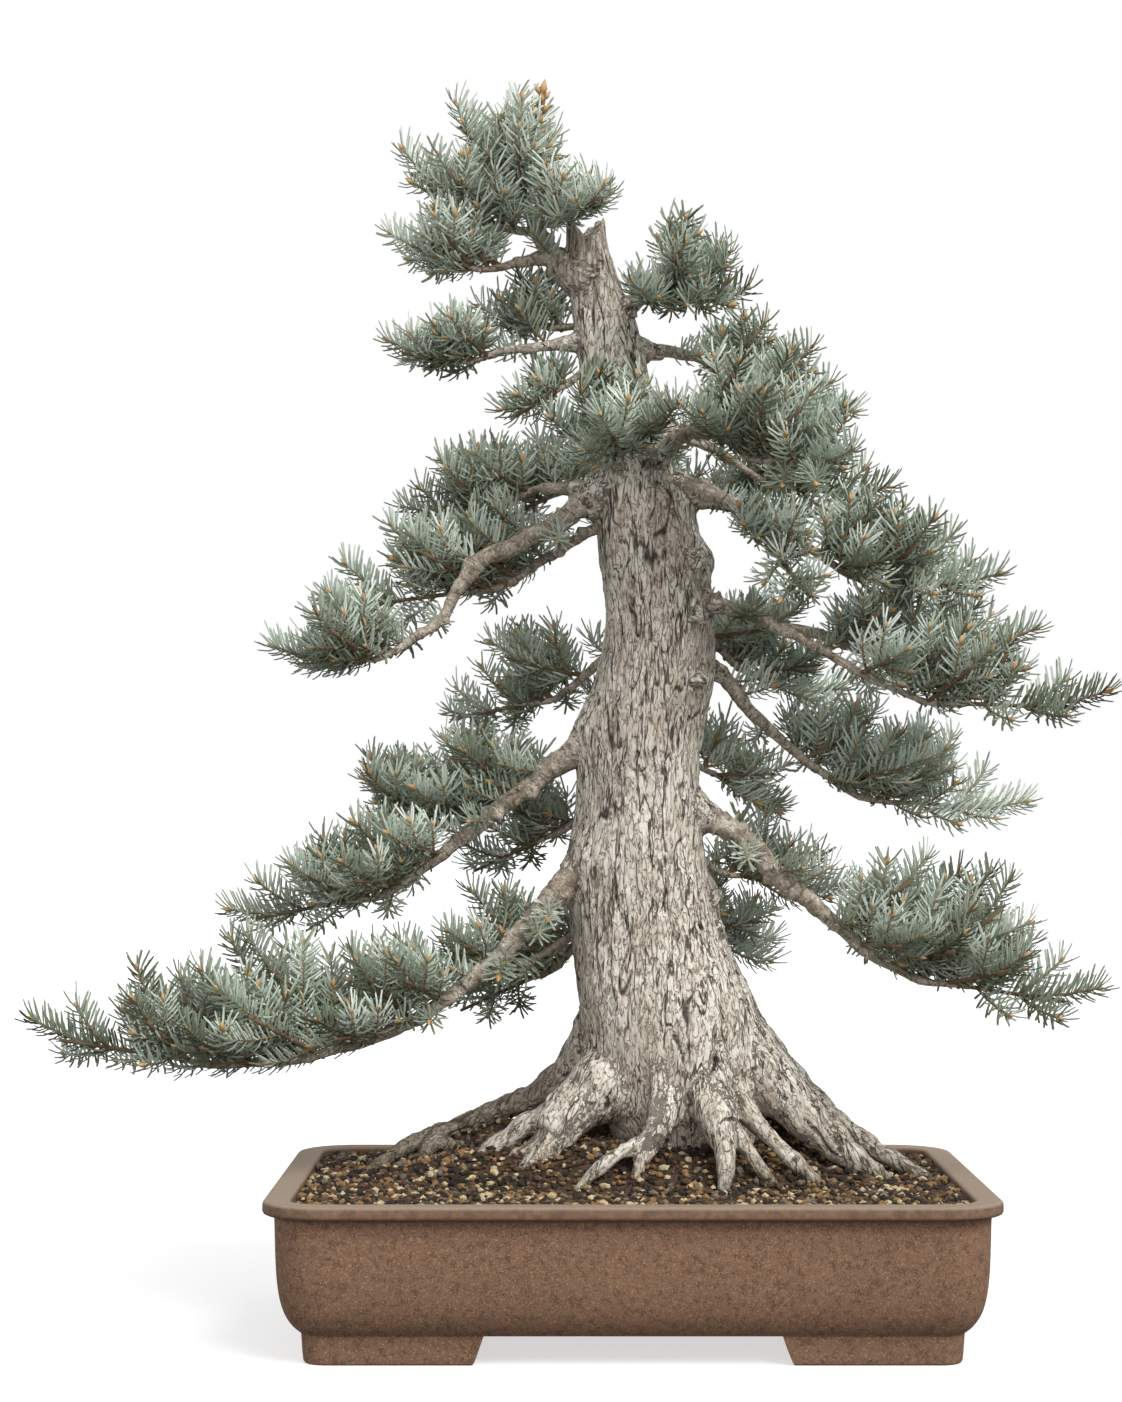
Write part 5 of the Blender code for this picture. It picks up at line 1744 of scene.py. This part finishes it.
def bud_arrays(tips, along, length, radius):
    """Small pointed buds at shoot tips: centre lines and radii for tubes."""
    shares = np.array((-0.10, 0.38, 1.0))
    lines = tips[:, None] + along[:, None] * (shares[None, :, None] * length[:, None, None])
    radii = radius[:, None] * np.array((0.62, 1.0, 0.12))[None]
    return lines, radii


def crown_buds(start, end):
    """The cluster of large buds on the bare tip of the tree."""
    aim = (end - start).normalized()
    side = aim.cross(BACK).normalized()
    over = side.cross(aim)
    rows = [(end, aim, CROWN_BUD)]
    for number in range(CROWN_BUDS):
        turn = math.radians(GOLDEN_TURN * number)
        lateral = math.cos(turn) * side + math.sin(turn) * over
        spot = start.lerp(end, 1 - 0.72 * number / CROWN_BUDS)
        rows.append((spot + lateral * 3 * MM, (aim + 0.8 * lateral).normalized(), 0.75 * CROWN_BUD))
    tips, along, length = [np.array([row[column] for row in rows]) for column in range(3)]
    return bud_arrays(tips, along, length, length * BUD_PLUMP)


def make_needles(shoots, masses, settings):
    """The needles, each tint in pieces of its own."""
    needles, tints = needle_mesh_arrays(shoots, settings)
    for number, (name, colour) in enumerate(NEEDLE_TINTS):
        chosen = needles[tints == number]
        finish = plain_finish("fir_needle_" + name, colour, 0.46)
        for part, few in enumerate(np.array_split(chosen, math.ceil(len(chosen) / NEEDLES_IN_PIECE))):
            faces = repeated(NEEDLE_FACES, len(few), needles.shape[1])
            mesh = joined_mesh(f"needles_{name}_{part + 1}", few.reshape(-1, 3), faces)
            as_piece(mesh, masses, [finish])


def make_buds(lines, shoots, crown, masses, settings):
    """A bud at each shoot's tip with a small one beside it, and the cluster on the tree's tip."""
    tips = lines[:, -1]
    along = unit(lines[:, -1] - lines[:, -2])
    chooser = np.random.default_rng(11)
    length = settings.bud_length * chooser.uniform(0.6, 1.1, len(tips))
    buds = [bud_arrays(tips, along, length, length * BUD_PLUMP), crown_buds(*crown)]
    side = unit(np.cross(along, shoots.lift))
    for first, sign in ((0, -1), (1, 1)):
        chosen = slice(first, None, 2)
        small = SIDE_BUD * length[chosen]
        sideways = unit(along + sign * 0.8 * side)[chosen]
        buds.append(bud_arrays((tips - along * 1.2 * MM)[chosen], sideways, small, small * SIDE_BUD_PLUMP))
    points, faces = combined([tubes(bud_lines, bud_radii, BUD_SIDES) for bud_lines, bud_radii in buds])
    finish = plain_finish("fir_bud", settings.bud_colour, 0.5)
    as_piece(joined_mesh("buds", points, faces, smooth=True), masses, [finish])


def make_foliage(settings):
    """Twigs, shoots, needles and buds of all the masses."""
    limbs, sprays, twigs = grow_tree()
    masses = [mass.name for mass in MASSES]
    crown = max(sprays, key=lambda spray: (spray.root + spray.along * spray.length).z)
    sprays = [spray for spray in sprays if spray is not crown]
    tip = crown.root + (crown.along + UP).normalized() * crown.length * CROWN_SHARE
    shoots = kept_inside(shoot_arrays(spray_shoots(sprays) + spur_shoots(limbs)))
    make_needles(shoots, masses, settings)
    lines = shoot_lines(shoots, SHOOT_RINGS)
    radii = np.broadcast_to(settings.shoot_radius * np.linspace(1.15, 0.75, SHOOT_RINGS), lines.shape[:2])
    mesh = joined_mesh("young_shoots", *tubes(lines, radii, SHOOT_SIDES), smooth=True)
    finish = plain_finish("fir_shoot", settings.shoot_colour, 0.7)
    as_piece(mesh, masses, [finish])
    axes = [(spray.root, spray.root + spray.along * spray.length * AXIS_WOOD) for spray in sprays]
    make_twigs([*twigs, *axes, (crown.root, tip)], masses)
    make_buds(lines, shoots, (crown.root, tip), masses, settings)


def make_twigs(twigs, masses):
    """The bare twigs between a mass's stem and its sprays, and last the tree's own thick tip."""
    starts, ends = [np.array(column) for column in zip(*twigs)]
    share = np.linspace(-0.04, 1.0, TWIG_RINGS)[None, :, None]
    lines = starts[:, None] + (ends - starts)[:, None] * share
    radii = np.tile(np.linspace(TWIG_RADIUS, 0.7 * TWIG_RADIUS, TWIG_RINGS), (len(lines), 1))
    radii[-1] *= CROWN_SWELL
    points, faces = tubes(lines, radii, TWIG_SIDES)
    mesh = joined_mesh("twigs", points, faces, smooth=True)
    return as_piece(mesh, masses, [plain_finish("fir_twig", TWIG_BROWN, 0.85)])


# Pot and soil

# Bottom of the pot's wall: inset past the foot band and height, in millimetres
WALL_BASE = ((12, 26), (2, 26.2))
# Rim, up the outside, over the top and down the inside: insets in millimetres, from outside
# and then from the rim's width, and rises from its underside and then from its top
RIM_OUTSIDE = ((10.4, -0.6), (9.6, 0.2), (3.0, 0.9), (1.2, 1.7), (0.2, 3.2), (0, 5))
RIM_OVER = ((0.1, -3.4), (0.8, -1.5), (2.0, -0.5), (4.0, 0))
RIM_INSIDE = ((-4, -0.1), (-1.6, -0.7), (-0.4, -1.9), (0, -4), (0.2, -14))
# Foot: heights and how far it is drawn in there, in millimetres, and its slanting ends
FOOT_STEPS = ((FOOT_TOP / MM, 0), (8, 1.6), (2, 2.4), (0.5, 3.4), (0, 4.6))
FOOT_SLANT = 0.27
FOOT_LEAN = 7 * MM
WALL_STEPS = 5
LEAST_CORNER = 12 * MM

# Heap of soil round the trunk
HEAP_MIDDLE = np.array((66 * MM, 44 * MM))
HEAP_STRETCH = 1.65
HEAP_REACH = 168 * MM
HEAP_RINGS = 34
HEAP_SIDES = 96
BANKED_ROOTS = ("left_long", "right_back")
BANK_HEIGHT = 50 * MM
BANK_REACH = 30 * MM
SOIL_GAP = 3 * MM
# Distances from the heap's middle where it ends and where it is full, and the same from the
# pot's walls
HEAP_SLOPE = (165 * MM, 62 * MM)
WALL_SLOPE = (4 * MM, 46 * MM)
BUMP_SIZE = 22 * MM
BUMP_HEIGHT = 4 * MM
BED_DROP = 1.5 * MM
HEAP_SKIRT = 5 * MM

# Loose grains: stretch of each axis, roughness, flatness and how high they lie in their radius
GRAIN_STRETCHES = (0.62, 1.2)
GRAIN_ROUGHNESS = 0.22
GRAIN_FLATNESS = 0.75
GRAIN_LIE = (-0.2, 0.45)
GRAIN_TOP = 0.9


def rounded_outline(half_length, half_depth, corner, steps):
    """Points round a rectangle whose corners are arcs."""
    points = []
    for quarter in range(4):
        sign_x = 1 if quarter in (0, 3) else -1
        sign_y = 1 if quarter in (0, 1) else -1
        middle = Vector((sign_x * (half_length - corner), sign_y * (half_depth - corner), 0))
        for step in range(steps + 1):
            points.append(middle + corner * heading_vector(90 * (quarter + step / steps)))
    return points


def pot_loop(shape, inset, height, steps):
    """A closed loop of edges round the pot, at an inset from the rim and a height."""
    corner = max(POT_CORNER - inset, LEAST_CORNER)
    outline = rounded_outline(POT_LENGTH / 2 - inset, POT_DEPTH / 2 - inset, corner, steps)
    return edge_loop(shape, [point + Vector((POT_MIDDLE_X, 0, height)) for point in outline])


def edge_loop(shape, points):
    ring = [shape.verts.new(point) for point in points]
    return [shape.edges.new(pair) for pair in zip(ring, ring[1:] + ring[:1])]


def bridge_stack(shape, loops):
    """Skin a stack of loops and close both its ends."""
    for lower, upper in zip(loops, loops[1:]):
        bmesh.ops.bridge_loops(shape, edges=lower + upper)
    for loop in (loops[0], loops[-1]):
        bmesh.ops.edgeloop_fill(shape, edges=loop)


def wall_profile():
    """Insets and heights up the outside, round the rim and down the inside."""
    rows = with_ends([np.array(row) for row in WALL_PROFILE])
    profile = [(FOOT_BAND / MM + inset, height) for inset, height in WALL_BASE]
    for index in range(1, len(rows) - 2):
        for step in range(WALL_STEPS):
            height, inset = catmull(*rows[index - 1 : index + 3], step / WALL_STEPS)
            profile.append((float(inset), float(height)))
    rim = (POT_HEIGHT - RIM_HEIGHT) / MM
    top = POT_HEIGHT / MM
    profile += [(inset, rim + rise) for inset, rise in RIM_OUTSIDE]
    profile += [(inset, top + rise) for inset, rise in RIM_OVER]
    profile += [(RIM_WIDTH / MM + inset, top + rise) for inset, rise in RIM_INSIDE]
    return profile


def foot_outline(sign_x, sign_y, outer, inner, slant, height, steps):
    """The L-shaped plan of one foot, round a corner of the pot."""
    half_x = POT_LENGTH / 2 - outer
    half_y = POT_DEPTH / 2 - outer
    corner = POT_CORNER - outer
    end_x = RECESS_LENGTH / 2 - slant
    end_y = RECESS_DEPTH / 2 - slant
    points = [Vector((end_x, half_y, 0))]
    middle = Vector((half_x - corner, half_y - corner, 0))
    points += [middle + corner * heading_vector(90 - 90 * step / steps) for step in range(steps + 1)]
    points += [Vector((half_x, end_y, 0)), Vector((half_x - inner, end_y, 0))]
    points += [Vector((half_x - inner, half_y - inner, 0)), Vector((end_x, half_y - inner, 0))]
    placed = [Vector((sign_x * point.x + POT_MIDDLE_X, sign_y * point.y, height)) for point in points]
    return placed if sign_x * sign_y > 0 else placed[::-1]


def make_pot(settings):
    """The pot's wall and rim in one skin, and its four feet."""
    shape = bmesh.new()
    steps = settings.corner_steps
    bridge_stack(shape, [pot_loop(shape, inset * MM, height * MM, steps) for inset, height in wall_profile()])
    outer = WALL_PROFILE[0][1] * MM
    for sign_x, sign_y in itertools.product((-1, 1), repeat=2):
        loops = []
        for height, inset in FOOT_STEPS:
            height, inset = height * MM, inset * MM
            slant = FOOT_SLANT * height + FOOT_LEAN - inset
            outline = foot_outline(sign_x, sign_y, outer + inset, FOOT_BAND - inset, slant, height, steps)
            loops.append(edge_loop(shape, outline))
        bridge_stack(shape, loops)
    bmesh.ops.recalc_face_normals(shape, faces=shape.faces)
    mesh = mesh_of(shape, "pot_clay")
    mesh.shade_smooth()
    piece = as_piece(mesh, ["pot"], [clay_finish(settings)])
    soften = piece.modifiers.new("Crisp edges", "WEIGHTED_NORMAL")
    soften.keep_sharp = True
    mesh.set_sharp_from_angle(angle=math.radians(38))
    return piece


def grain_template():
    """A small rough stone: points and triangles of an icosphere."""
    shape = bmesh.new()
    bmesh.ops.create_icosphere(shape, subdivisions=1, radius=1.0)
    bmesh.ops.triangulate(shape, faces=shape.faces)
    shape.verts.ensure_lookup_table()
    points = np.array([vertex.co for vertex in shape.verts])
    faces = np.array([[vertex.index for vertex in face.verts] for face in shape.faces])
    shape.free()
    return points, faces


def root_bank(places, root):
    """How high the soil is banked under one of the long roots."""
    path, radii, _ = resampled(*root_line(root), 6 * MM)
    away = np.linalg.norm(places[:, None] - path[None, :, :2], axis=2)
    nearest = np.argmin(away, axis=1)
    top = np.minimum(path[nearest, 2] - 0.7 * radii[nearest] - SOIL_LEVEL, BANK_HEIGHT)
    return top * bell(np.min(away, axis=1) / BANK_REACH)


def heap_rise(places, settings):
    """How high the soil is heaped at places on it: most beside the trunk, none at the walls."""
    away = (places - HEAP_MIDDLE) / (HEAP_STRETCH, 1.0)
    share = eased(np.linalg.norm(away, axis=1), *HEAP_SLOPE)
    bumps = cloud_noise(np.pad(places, ((0, 0), (0, 1))) / BUMP_SIZE, 3) - 0.5
    inside = POT_DEPTH / 2 - RIM_WIDTH
    walls = eased(np.abs(places[:, 1]), *[inside - slope for slope in WALL_SLOPE])
    banks = [root_bank(places, root) for root in BANKED_ROOTS]
    return (np.maximum.reduce([settings.heap * share, *banks]) + BUMP_HEIGHT * bumps * share) * walls


def make_heap(settings, finish):
    """A closed mound of fine soil round the trunk, under the loose grains."""
    reach = np.linspace(0.02, 1, HEAP_RINGS)[:, None] * HEAP_REACH
    turns = even_turns(HEAP_SIDES)
    spots = HEAP_MIDDLE + np.stack([HEAP_STRETCH * reach * np.cos(turns), reach * np.sin(turns)], axis=2)
    limit = POT_DEPTH / 2 - RIM_WIDTH - SOIL_GAP
    flat = spots.reshape(-1, 2)
    flat[:, 1] = np.clip(flat[:, 1], -limit, limit)
    shape = bmesh.new()
    height = heap_rise(flat, settings) + SOIL_LEVEL - BED_DROP
    rings = np.concatenate([flat, height[:, None]], axis=1).reshape(HEAP_RINGS, HEAP_SIDES, 3)
    under = rings[-1] - (0, 0, HEAP_SKIRT)
    bridge_stack(shape, [edge_loop(shape, ring) for ring in (*rings, under)])
    bmesh.ops.triangulate(shape, faces=shape.faces)
    bmesh.ops.recalc_face_normals(shape, faces=shape.faces)
    mesh = mesh_of(shape, "soil_heap")
    mesh.shade_smooth()
    return as_piece(mesh, [], [finish])


def make_soil(settings):
    """The soil bed takes its finish, with a mound and loose grains on it round the roots."""
    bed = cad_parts["soil"]
    finish = bed_finish(settings)
    bed.data.materials.clear()
    bed.data.materials.append(finish)
    make_heap(settings, finish)
    chooser = np.random.default_rng(5)
    half_x = POT_LENGTH / 2 - RIM_WIDTH - SOIL_GAP
    half_y = POT_DEPTH / 2 - RIM_WIDTH - SOIL_GAP
    spots = chooser.uniform((-half_x, -half_y), (half_x, half_y), (settings.grain_count, 2))
    corner = POT_CORNER - RIM_WIDTH
    over = np.maximum(np.abs(spots) - (half_x - corner, half_y - corner), 0)
    spots = spots[np.linalg.norm(over, axis=1) < corner] + (POT_MIDDLE_X, 0)
    growth = settings.grain_large - settings.grain_small
    radius = settings.grain_small + growth * chooser.random(len(spots)) ** 1.7
    points, faces = grain_template()
    shapes = points[None] * chooser.uniform(*GRAIN_STRETCHES, (len(spots), 1, 3))
    shapes = shapes * (1 + GRAIN_ROUGHNESS * chooser.uniform(-1, 1, (len(spots), len(points), 1)))
    turn = chooser.uniform(0, 2 * np.pi, len(spots))
    cos, sin = np.cos(turn)[:, None], np.sin(turn)[:, None]
    turned = np.stack([
        cos * shapes[..., 0] - sin * shapes[..., 1],
        sin * shapes[..., 0] + cos * shapes[..., 1],
        GRAIN_FLATNESS * shapes[..., 2],
    ], axis=2)
    rise = heap_rise(spots, settings)
    heights = SOIL_LEVEL + rise + radius * chooser.uniform(*GRAIN_LIE, len(spots))
    heights = np.minimum(heights, POT_HEIGHT - GRAIN_TOP * radius + rise)
    middles = np.stack([spots[:, 0], spots[:, 1], heights], axis=1)
    placed = middles[:, None] + turned * radius[:, None, None]
    shares = [share for _, _, share in GRAIN_TINTS]
    kinds = chooser.choice(len(GRAIN_TINTS), len(spots), p=shares)
    every_face = repeated(faces, len(spots), len(points))
    mesh = joined_mesh("soil_grains", placed.reshape(-1, 3), every_face, kinds=np.repeat(kinds, len(faces)))
    finishes = [grain_finish(name, colour) for name, colour, _ in GRAIN_TINTS]
    return as_piece(mesh, [], finishes)


# Stage

FLOOR_HALF = 30
STAGE_MIDDLE = (0.05, 0, 0.5)
SUN_PLACE = (1.3, -1.5, 2.4)
FILL_PLACE = (-1.6, -2.2, 1.2)
FILL_SIZE = 1.6
# Heights of the view's direction between which the backdrop turns into the sky above, and
# into the dimmer light from below
SKY_FROM = (0.55, 0.34)
BELOW_FROM = (-0.10, -0.02)


def soft_light(name, kind, place, power):
    """A light that looks from its place at the tree."""
    lamp = bpy.data.lights.new(name, kind)
    lamp.energy = power
    holder = in_scene(name, lamp)
    holder.location = place
    holder.rotation_euler = (Vector(STAGE_MIDDLE) - Vector(place)).to_track_quat("-Z", "Y").to_euler()
    return lamp


def make_world(settings):
    """A white horizon as the backdrop, a softer sky above it and little light from below."""
    world = bpy.data.worlds.new("studio_light")
    bpy.context.scene.world = world
    world.use_nodes = True
    tree = world.node_tree
    where = tree.nodes.new("ShaderNodeTexCoord")
    split = tree.nodes.new("ShaderNodeSeparateXYZ")
    tree.links.new(where.outputs["Generated"], split.inputs[0])
    height = Link(tree, split.outputs["Z"])
    sky = height.between(*SKY_FROM) * (settings.horizon - settings.sky) + settings.sky
    strength = height.between(*BELOW_FROM) * (sky - settings.below) + settings.below
    backdrop = tree.nodes["Background"]
    backdrop.inputs["Color"].default_value = (1, 1, 1, 1)
    connect(tree, backdrop.inputs["Strength"], strength)


def make_stage(settings):
    """A pale floor, soft white light, and the camera of the photograph."""
    shape = bmesh.new()
    bmesh.ops.create_grid(shape, x_segments=1, y_segments=1, size=FLOOR_HALF)
    floor = in_scene("studio_floor", mesh_of(shape, "studio_floor"))
    finish = Finish("fir_floor")
    finish.coat(tuple(settings.floor), 0.9, 0.1)
    finish.surface_values({"Emission Color": (1, 1, 1), "Emission Strength": settings.floor_glow})
    floor.data.materials.append(finish.material)
    floor.visible_diffuse = False
    floor.visible_glossy = False
    make_world(settings)
    sun = soft_light("sun_light", "SUN", SUN_PLACE, settings.sun)
    sun.angle = settings.sun_softness
    fill = soft_light("fill_light", "AREA", FILL_PLACE, settings.fill_power)
    fill.size = FILL_SIZE

    scene = bpy.context.scene
    scene.view_settings.view_transform = "Standard"
    camera = in_scene("camera", bpy.data.cameras.new("camera"))
    camera.location = (0, -settings.camera_distance, settings.camera_height)
    camera.rotation_euler = (math.pi / 2 + settings.camera_pitch, 0, 0)
    camera.data.lens = settings.camera_lens
    scene.camera = camera


# Add-on


class FIR_OT_pot(bpy.types.Operator):
    """Model the clay pot with its rim and feet"""

    bl_idname = "fir.pot"
    bl_label = "Clay pot"

    def execute(self, context):
        make_pot(context.scene.fir_pot)
        return {"FINISHED"}


class FIR_OT_soil(bpy.types.Operator):
    """Finish the soil and scatter its loose grains"""

    bl_idname = "fir.soil"
    bl_label = "Soil"

    def execute(self, context):
        make_soil(context.scene.fir_soil)
        return {"FINISHED"}


class FIR_OT_trunk(bpy.types.Operator):
    """Model the trunk and roots with the bark's relief"""

    bl_idname = "fir.trunk"
    bl_label = "Trunk and roots"

    def execute(self, context):
        make_trunk(context.scene.fir_bark)
        return {"FINISHED"}


class FIR_OT_boughs(bpy.types.Operator):
    """Model the boughs and the stems of the foliage"""

    bl_idname = "fir.boughs"
    bl_label = "Boughs"

    def execute(self, context):
        make_boughs()
        return {"FINISHED"}


class FIR_OT_foliage(bpy.types.Operator):
    """Grow twigs, shoots, needles and buds"""

    bl_idname = "fir.foliage"
    bl_label = "Foliage"

    def execute(self, context):
        make_foliage(context.scene.fir_foliage)
        return {"FINISHED"}


class FIR_OT_stage(bpy.types.Operator):
    """Set up the floor, the lights and the camera"""

    bl_idname = "fir.stage"
    bl_label = "Stage"

    def execute(self, context):
        make_stage(context.scene.fir_studio)
        return {"FINISHED"}


OPERATORS = (FIR_OT_pot, FIR_OT_soil, FIR_OT_trunk, FIR_OT_boughs, FIR_OT_foliage, FIR_OT_stage)
SETTINGS = (
    ("fir_bark", FirBarkSettings),
    ("fir_foliage", FirFoliageSettings),
    ("fir_pot", FirPotSettings),
    ("fir_soil", FirSoilSettings),
    ("fir_studio", FirStudioSettings),
)


class FIR_PT_panel(bpy.types.Panel):
    """Lists the pieces of the bonsai"""

    bl_idname = "FIR_PT_panel"
    bl_label = "White fir bonsai"
    bl_space_type = "VIEW_3D"
    bl_region_type = "UI"
    bl_category = "Fir Bonsai"

    def draw(self, context):
        for operator in OPERATORS:
            self.layout.operator(operator.bl_idname)
        for name, group in SETTINGS:
            box = self.layout.box()
            box.label(text=group.__doc__)
            for key in group.__annotations__:
                box.prop(getattr(context.scene, name), key)


def register():
    for _, group in SETTINGS:
        bpy.utils.register_class(group)
    for name, group in SETTINGS:
        setattr(bpy.types.Scene, name, PointerProperty(type=group))
    for operator in OPERATORS:
        bpy.utils.register_class(operator)
    bpy.utils.register_class(FIR_PT_panel)


def unregister():
    bpy.utils.unregister_class(FIR_PT_panel)
    for operator in reversed(OPERATORS):
        bpy.utils.unregister_class(operator)
    for name, group in reversed(SETTINGS):
        delattr(bpy.types.Scene, name)
        bpy.utils.unregister_class(group)


def main():
    register()
    bpy.ops.fir.pot()
    bpy.ops.fir.soil()
    bpy.ops.fir.trunk()
    bpy.ops.fir.boughs()
    bpy.ops.fir.foliage()
    bpy.ops.fir.stage()


if __name__ == "__main__":
    main()
